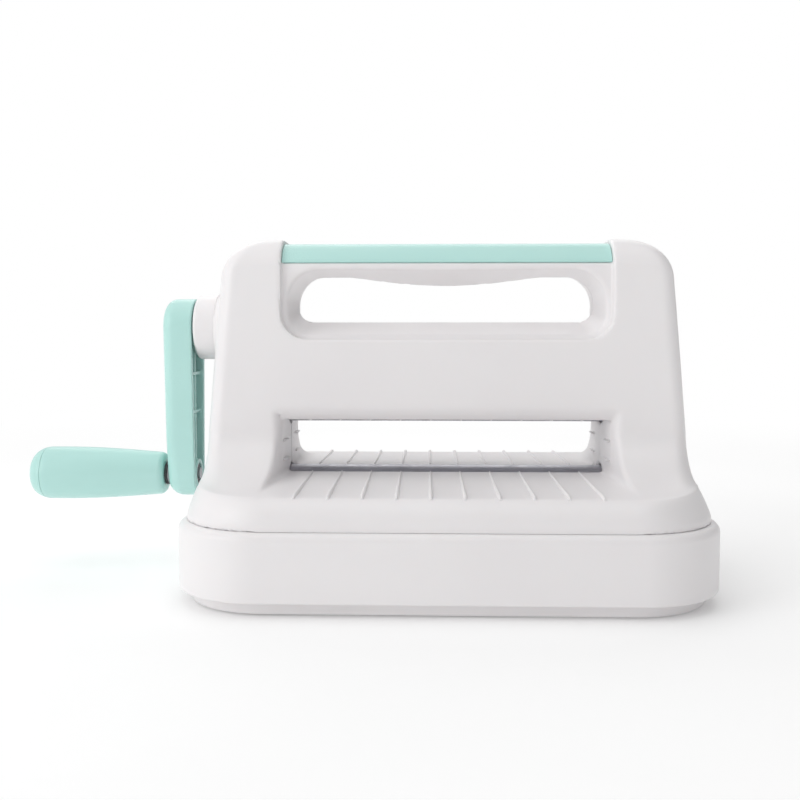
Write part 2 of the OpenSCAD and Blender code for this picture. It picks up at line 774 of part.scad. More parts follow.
module crank_arm() {
  color(mint) difference() {
    hull() {
      rounded_disc(crank_z, arm_top_r, -arm_x - arm_t, -arm_x, arm_edge);
      rounded_disc(grip_z, arm_end_r, -arm_x - arm_t, -arm_x, arm_edge);
    }
    difference() {
      along_x(-arm_x - arm_t + 5.4, -arm_x + 1) arm_outline(arm_wall);
      bar(-far, 0, 0, crank_z, shaft_r + 3.2);
      bar(-far, 0, 0, grip_z, 7.6);
      for (z = arm_ribs) translate([-far, -30, z - 0.8]) cube([far - arm_x - arm_setback, 60, 1.6]);
      translate([-far, -0.8, grip_z]) cube([far - arm_x - arm_setback, 1.6, crank_radius]);
    }
    along_x(-arm_x - 10.2, 0) flatted(crank_z, shaft_r + 0.02);
    bar(-far, 0, 0, crank_z, 2.6);
    bar(-far, -arm_x - arm_t + 1.9, 0, crank_z, 6.4);
    bar(-far, 0, 0, grip_z, 3.05);
    bar(-arm_x - 4.6, 0, 0, grip_z, 5.4);
  }
}

// The screw that holds the arm on its shaft, under the cap
module crank_screw() {
  x = -arm_x - arm_t + 1.9;
  color(dark_steel) {
    bar(x - 1.6, x - 0.05, 0, crank_z, 4.8);
    bar(x - 0.5, x + 16, 0, crank_z, 2);
  }
}

module crank_cap() {
  x = -arm_x - arm_t;
  color(mint) difference() {
    bar(x - 0.5, x + 1.8, 0, crank_z, 6.3);
    bar(x + 0.15, x + 3, 0, crank_z, 5.1);
  }
}

module grip_axle() {
  x = -arm_x - arm_t;
  color(steel) {
    bar(-grip_x - grip_len + 12, x - 0.6, 0, grip_z, 4);
    bar(-grip_x - grip_len + 8.5, -grip_x - grip_len + 12, 0, grip_z, 6);
    bar(x - 0.6, x - 0.05, 0, grip_z, 5);
    bar(x - 1, -arm_x + 0.6, 0, grip_z, 3);
  }
}

module axle_nut() {
  color(dark_steel) difference() {
    translate([-arm_x - 4.5, 0, grip_z]) rotate([0, 90, 0]) cylinder(h = 4, r = 5.2, $fn = 6);
    bar(-far, 0, 0, grip_z, 3.02);
  }
}

module grip_washer() {
  color(dark_steel) difference() {
    bar(-grip_x + 0.3, -grip_x + 1.3, 0, grip_z, 6);
    bar(-far, 0, 0, grip_z, 4.15);
  }
}

cap_len = 7.3;         // length of the grip's end cap

// Radius of the grip at a distance from its inner end, slim at the arm and full near the far end
function grip_radius(t) = let (u = t / (grip_len - 8)) grip_d / 2 * (0.79 + 0.21 * sin(90 * min(u * 1.18, 1.06)));

module grip_profile(t0, t1) {
  n = 16;
  end_r = 10;
  polygon(concat([[0, t0]],
    t0 == 0 ? [for (i = [0:3]) let (a = 30 * i) [grip_radius(3) - 3 * (1 - sin(a)) , 3 - 3 * cos(a)]] : [],
    [for (i = [1:n]) let (t = t0 + (t1 - t0) * i / n, e = max(t - (grip_len - end_r), 0))
      [grip_radius(min(t, grip_len - end_r)) - 7.5 * (1 - sqrt(1 - pow(min(e / end_r, 1), 2))), t]],
    [[0, t1]]));
}

module on_grip_axis() {
  translate([-grip_x, 0, grip_z]) rotate([0, -90, 0]) children();
}

module crank_grip() {
  color(mint) difference() {
    on_grip_axis() rotate_extrude($fn = 64) grip_profile(0, grip_len - cap_len);
    bar(-far, 0, 0, grip_z, 4.1);
    bar(-far, -grip_x - grip_len + 12.2, 0, grip_z, 6.4);
  }
}

module grip_cap() {
  color(mint) on_grip_axis() difference() {
    rotate_extrude($fn = 64) grip_profile(grip_len - cap_len + part_gap, grip_len);
    translate([0, 0, grip_len - cap_len - 1]) cylinder(h = 3.4, r = 6.4, $fn = 48);
  }
}

front_cover();
rear_cover();
base_skirt();
bottom_tray();
rubber_feet();
handle_trim();
crank_collar();
left_side_plate();
right_side_plate();
tie_rods();
tie_rod_screws();
bearing_plate();
bearing_spacers();
bearing_plate_screws();
roller_bushes();
crank_bushes();
upper_roller();
lower_roller();
upper_roller_gear();
lower_roller_gear();
upper_roller_clips();
lower_roller_clips();
frame_screws();
tray_screws();
cover_screws();
handle_screws();
crank_shaft();
drive_pinion();
crank_shaft_clips();
crank_arm();
crank_screw();
crank_cap();
grip_axle();
axle_nut();
grip_washer();
crank_grip();
grip_cap();
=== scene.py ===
"""A hand-cranked die cutting machine: smooth mouldings, fittings and finishes around its packed mechanism.

The frame gives every place and size. Lengths inside this script are millimetres, +X to the right, +Y to the
back and +Z up, with the origin on the table under the middle of the base.
"""

import json
import logging
import math
from dataclasses import dataclass, field
from enum import Enum
from functools import partial
from typing import Callable

import bmesh
import bpy
import numpy as np
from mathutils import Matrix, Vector

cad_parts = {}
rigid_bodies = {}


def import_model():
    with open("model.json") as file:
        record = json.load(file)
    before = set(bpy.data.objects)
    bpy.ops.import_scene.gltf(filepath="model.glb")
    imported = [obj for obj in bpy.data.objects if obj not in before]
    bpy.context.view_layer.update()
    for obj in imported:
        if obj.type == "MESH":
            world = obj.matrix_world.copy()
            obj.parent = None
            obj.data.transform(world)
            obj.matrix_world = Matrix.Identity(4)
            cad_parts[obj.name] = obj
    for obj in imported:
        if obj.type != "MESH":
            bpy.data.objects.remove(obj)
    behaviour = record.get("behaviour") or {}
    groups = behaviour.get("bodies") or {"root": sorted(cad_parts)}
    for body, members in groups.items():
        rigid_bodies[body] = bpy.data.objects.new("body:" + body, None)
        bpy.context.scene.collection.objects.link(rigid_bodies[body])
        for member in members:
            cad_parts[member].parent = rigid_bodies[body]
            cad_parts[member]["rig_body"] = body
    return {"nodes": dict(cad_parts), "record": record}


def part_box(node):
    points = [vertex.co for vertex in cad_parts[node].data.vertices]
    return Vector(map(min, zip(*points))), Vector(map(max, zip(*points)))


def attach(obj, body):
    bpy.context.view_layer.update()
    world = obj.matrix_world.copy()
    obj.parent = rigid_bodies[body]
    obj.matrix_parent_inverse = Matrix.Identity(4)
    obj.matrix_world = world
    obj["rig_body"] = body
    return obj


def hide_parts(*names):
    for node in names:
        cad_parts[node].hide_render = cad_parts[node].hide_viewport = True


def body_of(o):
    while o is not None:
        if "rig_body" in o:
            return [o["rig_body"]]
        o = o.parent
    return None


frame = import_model()
log = logging.getLogger("die_cutting_machine")

MM = 0.001
COVER_SCREWS = ((-107.5, 72.0), (107.5, 72.0), (-97.0, 154.0), (97.0, 154.0))
HANDLE_SCREWS = ((-50.0, 160.0), (50.0, 160.0))
Solid = Callable[[np.ndarray, np.ndarray, np.ndarray], np.ndarray]


# ---- Distances: each is negative inside a solid, in millimetres ----


def rounded_both(a: np.ndarray, b: np.ndarray, r: float | np.ndarray) -> np.ndarray:
    """What two solids share, with a rounded edge: the larger distance, or the length of both past r.

    Args:
        a: Distance to the first solid.
        b: Distance to the second solid.
        r: Radius of the edge.

    Returns:
        The distance to the shared solid.
    """
    return np.minimum(np.maximum(a, b), -r) + np.hypot(np.maximum(a + r, 0), np.maximum(b + r, 0))


def rounded_either(a: np.ndarray, b: np.ndarray, r: float) -> np.ndarray:
    """Two solids joined, with a hollow fillet of radius r where they meet."""
    return -rounded_both(-a, -b, r)


def carved(solid: np.ndarray, cut: np.ndarray, r: float | np.ndarray) -> np.ndarray:
    """A solid with a cut taken out of it, whose rim is rounded to radius r."""
    return rounded_both(solid, -cut, r)


def rod(a: np.ndarray, b: np.ndarray, centre: tuple[float, float], r: float) -> np.ndarray:
    """Endless round rod across the plane of a and b: the distance from its axis, less its radius."""
    return np.hypot(a - centre[0], b - centre[1]) - r


@dataclass(frozen=True)
class Skin:
    """A closed surface: its points in millimetres and its faces."""

    points: np.ndarray
    faces: np.ndarray

    @staticmethod
    def joined(skins: list["Skin"]) -> "Skin":
        """Several surfaces in one, each still closed by itself."""
        starts = np.cumsum([0] + [len(skin.points) for skin in skins[:-1]])
        faces = [skin.faces + start for skin, start in zip(skins, starts)]
        return Skin(np.vstack([skin.points for skin in skins]), np.vstack(faces))


def skin_of(solid: Solid, low: tuple[float, ...], high: tuple[float, ...], step: float) -> Skin:
    """The surface where a distance is zero, on a net of even cells.

    Each cell that the surface crosses gets one point, the mean of the crossings on its edges, which is then
    moved along the distance's slope, halving the way to zero twelve times. Four cells round each crossed edge
    make a face.

    Args:
        solid: The distance, as a function of whole arrays of x, y and z.
        low: Lowest corner of the net, outside the solid.
        high: Highest corner of the net, outside the solid.
        step: Size of a cell.

    Returns:
        The surface, facing outwards.
    """
    axes = [np.arange(a, b + step, step) for a, b in zip(low, high)]
    value = solid(*np.meshgrid(*axes, indexing="ij", sparse=True))
    inside = value < 0
    cells = tuple(n - 1 for n in value.shape)
    total = np.zeros(cells + (3,))
    count = np.zeros(cells)
    crossings = []
    for axis in range(3):
        ahead = [slice(None)] * 3
        behind = [slice(None)] * 3
        behind[axis], ahead[axis] = slice(0, -1), slice(1, None)
        v0, v1 = value[tuple(behind)], value[tuple(ahead)]
        crossed = inside[tuple(behind)] != inside[tuple(ahead)]
        index = np.argwhere(crossed)
        share = v0[crossed] / (v0[crossed] - v1[crossed])
        place = np.stack([axes[k][index[:, k]] for k in range(3)], 1)
        place[:, axis] += share * step
        crossings.append((axis, index, inside[tuple(behind)][crossed]))
        across = [k for k in range(3) if k != axis]
        for da in (0, 1):
            for db in (0, 1):
                cell = index.copy()
                cell[:, across[0]] -= da
                cell[:, across[1]] -= db
                good = np.all((cell >= 0) & (cell < cells), 1)
                at = tuple(cell[good].T)
                np.add.at(count, at, 1)
                np.add.at(total, at, place[good])
    used = count > 0
    number = np.full(cells, -1)
    number[used] = np.arange(used.sum())
    points = total[used] / count[used][:, None]
    faces = []
    for axis, index, outward in crossings:
        b, c = (axis + 1) % 3, (axis + 2) % 3
        corner = []
        for db, dc in ((-1, -1), (0, -1), (0, 0), (-1, 0)):
            cell = index.copy()
            cell[:, b] += db
            cell[:, c] += dc
            corner.append(number[tuple(np.clip(cell, 0, np.array(cells) - 1).T)])
        quad = np.stack(corner, 1)
        faces.append(np.where(outward[:, None], quad, quad[:, ::-1]))
    return Skin(settled(solid, points, step), np.vstack(faces))


def settled(solid: Solid, points: np.ndarray, step: float) -> np.ndarray:
    """Points moved along the distance's slope to where it is zero, where that is within 0.8 of a cell."""
    h = 0.3 * step
    shift = np.eye(3) * h
    slope = np.stack([solid(*(points + s).T) - solid(*(points - s).T) for s in shift], 1)
    slope /= np.maximum(np.linalg.norm(slope, axis=1), 1e-9)[:, None]
    near = np.full(len(points), -0.8 * step)
    out = np.full(len(points), 0.8 * step)
    found = (solid(*(points + slope * near[:, None]).T) < 0) & (solid(*(points + slope * out[:, None]).T) > 0)
    for _ in range(12):
        middle = (near + out) / 2
        within = solid(*(points + slope * middle[:, None]).T) < 0
        near = np.where(within, middle, near)
        out = np.where(within, out, middle)
    return points + slope * np.where(found, (near + out) / 2, 0)[:, None]


# ---- Surfaces on a grid of two parameters ----


def arc(cx: float, cy: float, rx: float, ry: float, start: float, end: float, n: int) -> np.ndarray:
    """Points on an ellipse about (cx, cy), from one angle to another in degrees, n steps."""
    a = np.radians(np.linspace(start, end, n + 1))
    return np.stack([cx + rx * np.cos(a), cy + ry * np.sin(a)], 1)


def grid_faces(rows: int, columns: int, closed: bool) -> np.ndarray:
    """Faces of a grid whose columns go round, and whose rows go round too when closed is true."""
    r, c = np.meshgrid(np.arange(rows if closed else rows - 1), np.arange(columns), indexing="ij")
    up, right = (r + 1) % rows, (c + 1) % columns
    corners = [r * columns + c, r * columns + right, up * columns + right, up * columns + c]
    return np.stack([k.ravel() for k in corners], 1)


def turned(profile: np.ndarray, height: float, steps: int = 96, closed: bool = False) -> Skin:
    """A profile turned about a line along X: each of its points (x, r) becomes the circle of radius r.

    Args:
        profile: Points (x, r), going towards -X along the outside.
        height: Height of the line above the table, with y = 0.
        steps: Points in each circle.
        closed: Whether the profile's last point joins its first.

    Returns:
        The turned surface.
    """
    a = np.linspace(0, 2 * np.pi, steps, endpoint=False)
    x, r = profile[:, :1], profile[:, 1:]
    points = np.stack([x + 0 * a, r * np.cos(a), height + r * np.sin(a)], 2)
    return Skin(points.reshape(-1, 3), grid_faces(len(profile), steps, closed))


def plan_outline(half_w: float, half_d: float, r: float, n: int = 24) -> np.ndarray:
    """A rounded rectangle seen from above, anticlockwise."""
    w, d = half_w - r, half_d - r
    centres = [(w, d), (-w, d), (-w, -d), (w, -d)]
    return np.vstack([arc(cx, cy, r, r, 90 * q, 90 * q + 90, n) for q, (cx, cy) in enumerate(centres)])


def prism(section: np.ndarray, x0: float, x1: float, layers: int = 2) -> Skin:
    """A section (y, z), anticlockwise seen from +X, carried from x0 to x1; its ends stay open."""
    x = np.linspace(x0, x1, layers)
    points = np.concatenate([np.broadcast_to(x[:, None, None], (layers, len(section), 1)),
                             np.broadcast_to(section, (layers,) + section.shape)], 2)
    return Skin(points.reshape(-1, 3), grid_faces(layers, len(section), False)[:, ::-1])


# ---- Finishes ----


class Grain(Enum):
    """The way a metal's grinding lines run."""

    ROUND_X = (1.0, 0.02, 0.02)
    ALONG_X = (0.03, 1.0, 1.0)
    NONE = (1.0, 1.0, 1.0)


class Nodes:
    """A small helper that adds nodes to a tree and links them."""

    def __init__(self, tree: bpy.types.NodeTree) -> None:
        """Keeps the tree that the nodes go into."""
        self.tree = tree

    def add(self, kind: str, inputs: dict | None = None, **settings) -> bpy.types.Node:
        """Adds a node.

        Args:
            kind: The node's type, without its prefix.
            inputs: Values or output sockets for its inputs, by name or number.
            settings: Its own properties.

        Returns:
            The node.
        """
        node = self.tree.nodes.new("ShaderNode" + kind if not kind.startswith("Node") else kind)
        for key, value in settings.items():
            setattr(node, key, value)
        for key, value in (inputs or {}).items():
            if isinstance(value, bpy.types.NodeSocket):
                self.tree.links.new(value, node.inputs[key])
            else:
                node.inputs[key].default_value = value
        return node

    def noise(self, at: bpy.types.NodeSocket, scale: float, detail: float = 2.0) -> bpy.types.NodeSocket:
        """A noise field read at a place, from 0 to 1."""
        return self.add("TexNoise", {"Vector": at, "Scale": scale, "Detail": detail}).outputs["Fac"]

    def spread(self, value: bpy.types.NodeSocket, low: float, high: float,
               to_low: float, to_high: float) -> bpy.types.NodeSocket:
        """A value from low to high, spread out from to_low to to_high."""
        node = self.add("MapRange", {"Value": value, "From Min": low, "From Max": high,
                                     "To Min": to_low, "To Max": to_high}, interpolation_type="SMOOTHSTEP")
        return node.outputs["Result"]

    def blend(self, factor: bpy.types.NodeSocket) -> tuple[list[bpy.types.NodeSocket], bpy.types.NodeSocket]:
        """A blend of two colours: its two colour inputs and its output."""
        node = self.add("Mix", {"Factor": factor}, data_type="RGBA")
        colours = [socket for socket in node.inputs if socket.type == "RGBA"]
        return colours, next(socket for socket in node.outputs if socket.type == "RGBA")

    def sum(self, *values: bpy.types.NodeSocket) -> bpy.types.NodeSocket:
        """All values added up."""
        total = values[0]
        for value in values[1:]:
            total = self.add("Math", {0: total, 1: value}, operation="ADD").outputs[0]
        return total

    def times(self, a: bpy.types.NodeSocket, b: float | bpy.types.NodeSocket) -> bpy.types.NodeSocket:
        """One value times another."""
        return self.add("Math", {0: a, 1: b}, operation="MULTIPLY").outputs[0]


def new_group(name: str, inputs: dict[str, tuple[str, float | tuple]], outputs: dict[str, str]) -> tuple:
    """An empty shader group with named sockets.

    Args:
        name: The group's name.
        inputs: Kind and first value of each input.
        outputs: Kind of each output.

    Returns:
        The group, its node helper, its input sockets and its output node.
    """
    group = bpy.data.node_groups.new(name, "ShaderNodeTree")
    for key, (kind, value) in inputs.items():
        group.interface.new_socket(key, in_out="INPUT", socket_type=kind).default_value = value
    for key, kind in outputs.items():
        group.interface.new_socket(key, in_out="OUTPUT", socket_type=kind)
    nodes = Nodes(group)
    return group, nodes, nodes.add("NodeGroupInput").outputs, nodes.add("NodeGroupOutput").inputs


FLOAT, COLOUR = "NodeSocketFloat", "NodeSocketColor"


def moulded_skin_group() -> bpy.types.NodeTree:
    """Moulded plastic: cloudy tone, fine spark-eroded grain, slow flow ripples and a few faint rub marks.

    Returns:
        The group; it puts out a colour, a roughness and a height.
    """
    group, nodes, given, put = new_group(
        "moulded_skin",
        {"Colour": (COLOUR, (0.8, 0.8, 0.8, 1)), "Tint": (COLOUR, (0.8, 0.8, 0.8, 1)),
         "Roughness": (FLOAT, 0.35), "Grain": (FLOAT, 1.0)},
        {"Colour": COLOUR, "Roughness": FLOAT, "Height": FLOAT})
    at = nodes.add("TexCoord").outputs["Object"]
    cloud = nodes.noise(at, 14.0, 3.0)
    grain = nodes.noise(at, 2600.0, 1.0)
    ripple = nodes.noise(at, 45.0, 1.0)
    stretched = nodes.add("Mapping", {"Vector": at, "Rotation": (0.3, 0.5, 0.9),
                                      "Scale": (60.0, 900.0, 900.0)})
    rub = nodes.spread(nodes.noise(stretched.outputs[0], 1.0, 2.0), 0.66, 0.74, 0.0, 1.0)
    patch = nodes.spread(nodes.noise(at, 22.0, 2.0), 0.5, 0.66, 0.0, 1.0)
    marks = nodes.times(rub, patch)
    tones, blended = nodes.blend(nodes.spread(cloud, 0.3, 0.7, 0.0, 1.0))
    for tone, key in zip(tones, ("Colour", "Tint")):
        group.links.new(given[key], tone)
    group.links.new(blended, put["Colour"])
    rough = nodes.sum(given["Roughness"], nodes.times(nodes.spread(cloud, 0.25, 0.75, -0.5, 0.5), 0.07),
                      nodes.times(marks, 0.10), nodes.times(nodes.spread(grain, 0.2, 0.8, -0.5, 0.5), 0.05))
    group.links.new(rough, put["Roughness"])
    height = nodes.sum(nodes.times(nodes.times(grain, 0.5), given["Grain"]), nodes.times(ripple, 0.9),
                       nodes.times(marks, -0.15))
    group.links.new(height, put["Height"])
    return group


def worked_metal_group() -> bpy.types.NodeTree:
    """Worked metal: grinding lines along the way that Stretch gives, with cloudy stains and small pits.

    Returns:
        The group; it puts out a colour, a roughness and a height.
    """
    group, nodes, given, put = new_group(
        "worked_metal",
        {"Colour": (COLOUR, (0.5, 0.5, 0.5, 1)), "Stain": (COLOUR, (0.3, 0.3, 0.3, 1)),
         "Roughness": (FLOAT, 0.3), "Lines": (FLOAT, 1.0), "Stretch": ("NodeSocketVector", (1.0, 1.0, 1.0))},
        {"Colour": COLOUR, "Roughness": FLOAT, "Height": FLOAT})
    at = nodes.add("TexCoord").outputs["Object"]
    drawn = nodes.add("VectorMath", {0: at, 1: given["Stretch"]}, operation="MULTIPLY").outputs[0]
    lines = nodes.noise(drawn, 1800.0, 4.0)
    broad = nodes.noise(drawn, 260.0, 2.0)
    stain = nodes.spread(nodes.noise(at, 70.0, 4.0), 0.48, 0.72, 0.0, 1.0)
    pits = nodes.spread(nodes.noise(at, 1500.0, 1.0), 0.70, 0.78, 0.0, 1.0)
    tones, blended = nodes.blend(stain)
    for tone, key in zip(tones, ("Colour", "Stain")):
        group.links.new(given[key], tone)
    group.links.new(blended, put["Colour"])
    rough = nodes.sum(given["Roughness"], nodes.times(nodes.spread(broad, 0.25, 0.75, -0.5, 0.5), 0.12),
                      nodes.times(stain, 0.08))
    group.links.new(rough, put["Roughness"])
    height = nodes.sum(nodes.times(lines, given["Lines"]), nodes.times(pits, -0.6))
    group.links.new(height, put["Height"])
    return group


@dataclass(frozen=True)
class Plastic:
    """A moulded plastic or rubber."""

    name: str
    colour: tuple[float, float, float]
    tint: tuple[float, float, float]
    roughness: float = 0.34
    grain: float = 1.0
    relief: float = 0.02
    subsurface: float = 0.0

    def made(self, group: bpy.types.NodeTree) -> bpy.types.Material:
        """The material, with the moulded skin group feeding its shader.

        Args:
            group: The moulded skin group.

        Returns:
            The material.
        """
        values = {"Colour": self.colour + (1,), "Tint": self.tint + (1,), "Roughness": self.roughness,
                  "Grain": self.grain}
        shader = {"Metallic": 0.0, "IOR": 1.47, "Subsurface Weight": self.subsurface,
                  "Subsurface Radius": (1.0, 0.8, 0.7), "Subsurface Scale": 0.0012}
        return shaded(self.name, group, values, shader, self.relief)


@dataclass(frozen=True)
class Metal:
    """A worked metal."""

    name: str
    colour: tuple[float, float, float]
    stain: tuple[float, float, float]
    roughness: float = 0.3
    lines: float = 1.0
    grain: Grain = Grain.NONE
    relief: float = 0.02

    def made(self, group: bpy.types.NodeTree) -> bpy.types.Material:
        """The material, with the worked metal group feeding its shader.

        Args:
            group: The worked metal group.

        Returns:
            The material.
        """
        values = {"Colour": self.colour + (1,), "Stain": self.stain + (1,), "Roughness": self.roughness,
                  "Lines": self.lines, "Stretch": self.grain.value}
        return shaded(self.name, group, values, {"Metallic": 1.0}, self.relief)


def shaded(name: str, group: bpy.types.NodeTree, values: dict, shader: dict,
           relief: float) -> bpy.types.Material:
    """A material whose colour, roughness and relief come from a group.

    Args:
        name: The material's name.
        group: The group.
        values: The group's inputs.
        shader: Constants on the shader's own sockets.
        relief: Depth of the bump, in millimetres.

    Returns:
        The material.
    """
    material = bpy.data.materials.new(name)
    material.use_nodes = True
    nodes = Nodes(material.node_tree)
    principled = material.node_tree.nodes["Principled BSDF"]
    effect = material.node_tree.nodes.new("ShaderNodeGroup")
    effect.node_tree = group
    for key, value in values.items():
        effect.inputs[key].default_value = value
    bump = nodes.add("Bump", {"Height": effect.outputs["Height"], "Strength": 0.6, "Distance": relief * MM})
    links = material.node_tree.links
    links.new(effect.outputs["Colour"], principled.inputs["Base Color"])
    links.new(effect.outputs["Roughness"], principled.inputs["Roughness"])
    links.new(bump.outputs["Normal"], principled.inputs["Normal"])
    for key, value in shader.items():
        principled.inputs[key].default_value = value
    material.diffuse_color = tuple(values["Colour"])
    return material


@dataclass
class Finishes:
    """Every finish of the machine, by the record's material slot."""

    plastics: dict[str, Plastic] = field(default_factory=lambda: {
        "white_shell": Plastic("white_shell", (0.860, 0.840, 0.845), (0.840, 0.818, 0.825), 0.36, 0.7,
                               0.030, 0.10),
        "mint_plastic": Plastic("mint_plastic", (0.500, 0.780, 0.735), (0.475, 0.755, 0.710), 0.30, 0.6,
                                0.030, 0.08),
        "gear_nylon": Plastic("gear_nylon", (0.640, 0.590, 0.480), (0.600, 0.545, 0.430), 0.45, 1.0, 0.04, 0.1),
        "foot_rubber": Plastic("foot_rubber", (0.030, 0.030, 0.032), (0.045, 0.044, 0.044), 0.70, 2.0, 0.08),
    })
    metals: dict[str, Metal] = field(default_factory=lambda: {
        "roller_steel": Metal("roller_steel", (0.60, 0.60, 0.64), (0.52, 0.52, 0.56), 0.40, 0.5,
                              Grain.ROUND_X, 0.006),
        "frame_steel": Metal("frame_steel", (0.50, 0.50, 0.52), (0.38, 0.38, 0.40), 0.40, 0.7, Grain.ALONG_X),
        "screw_steel": Metal("screw_steel", (0.09, 0.085, 0.09), (0.05, 0.05, 0.055), 0.42, 0.3),
        "bush_bronze": Metal("bush_bronze", (0.46, 0.32, 0.17), (0.30, 0.20, 0.10), 0.45, 0.4),
    })

    def made(self) -> dict[str, bpy.types.Material]:
        """All materials, by slot name."""
        skin, metal = moulded_skin_group(), worked_metal_group()
        made = {slot: finish.made(skin) for slot, finish in self.plastics.items()}
        made.update({slot: finish.made(metal) for slot, finish in self.metals.items()})
        return made


@dataclass
class Dresser:
    """Turns surfaces into pieces that ride on their bodies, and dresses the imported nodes."""

    materials: dict[str, bpy.types.Material]
    slots: dict[str, str]

    def piece(self, name: str, skin: Skin, nodes: tuple[str, ...], merge: float = 0.0, caps: bool = False,
              bevel: float = 0.0, sharp: float = 38.0) -> bpy.types.Object:
        """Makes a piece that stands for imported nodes.

        Args:
            name: The piece's name.
            skin: Its surface.
            nodes: The nodes that it replaces; it rides and is finished as the first one.
            merge: Distance within which doubled points are merged, in millimetres.
            caps: Whether open ends are closed by flat faces.
            bevel: Width of a rounded edge, in millimetres.
            sharp: Angle above which an edge is drawn sharp, in degrees.

        Returns:
            The piece.
        """
        mesh = bpy.data.meshes.new(name)
        mesh.vertices.add(len(skin.points))
        mesh.vertices.foreach_set("co", (skin.points * MM).astype(np.float32).ravel())
        mesh.loops.add(skin.faces.size)
        mesh.loops.foreach_set("vertex_index", skin.faces.astype(np.int32).ravel())
        mesh.polygons.add(len(skin.faces))
        mesh.polygons.foreach_set("loop_start", np.arange(len(skin.faces), dtype=np.int32) * 4)
        mesh.update(calc_edges=True)
        mesh.validate()
        if merge or caps:
            tidied(mesh, merge * MM, caps)
        mesh.shade_smooth()
        mesh.set_sharp_from_angle(angle=math.radians(sharp))
        piece = bpy.data.objects.new(name, mesh)
        bpy.context.scene.collection.objects.link(piece)
        if bevel:
            rounding = piece.modifiers.new("rounding", "BEVEL")
            rounding.width, rounding.segments = bevel * MM, 3
            rounding.limit_method, rounding.angle_limit = "ANGLE", math.radians(50)
        mesh.materials.append(self.materials[self.slots[nodes[0]]])
        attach(piece, body_of(frame["nodes"][nodes[0]])[0])
        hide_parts(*nodes)
        log.info("%s: %d faces", name, len(mesh.polygons))
        return piece

    def dress_nodes(self) -> None:
        """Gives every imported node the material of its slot."""
        for name, node in frame["nodes"].items():
            node.data.materials.clear()
            node.data.materials.append(self.materials[self.slots[name]])


def tidied(mesh: bpy.types.Mesh, merge: float, caps: bool) -> None:
    """Merges doubled points, closes open ends and turns all faces outwards.

    Args:
        mesh: The mesh.
        merge: Distance within which points are merged, in metres.
        caps: Whether open ends are closed.
    """
    work = bmesh.new()
    work.from_mesh(mesh)
    if merge:
        bmesh.ops.remove_doubles(work, verts=work.verts, dist=merge)
    if caps:
        bmesh.ops.holes_fill(work, edges=[e for e in work.edges if e.is_boundary], sides=0)
    bmesh.ops.recalc_face_normals(work, faces=work.faces)
    work.to_mesh(mesh)
    work.free()


def extent(node: str) -> tuple[np.ndarray, np.ndarray]:
    """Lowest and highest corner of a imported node, in millimetres."""
    low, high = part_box(node)
    return np.array(low) / MM, np.array(high) / MM


def middle(node: str) -> np.ndarray:
    """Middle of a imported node's box, in millimetres."""
    low, high = extent(node)
    return (low + high) / 2


# ---- The covers ----


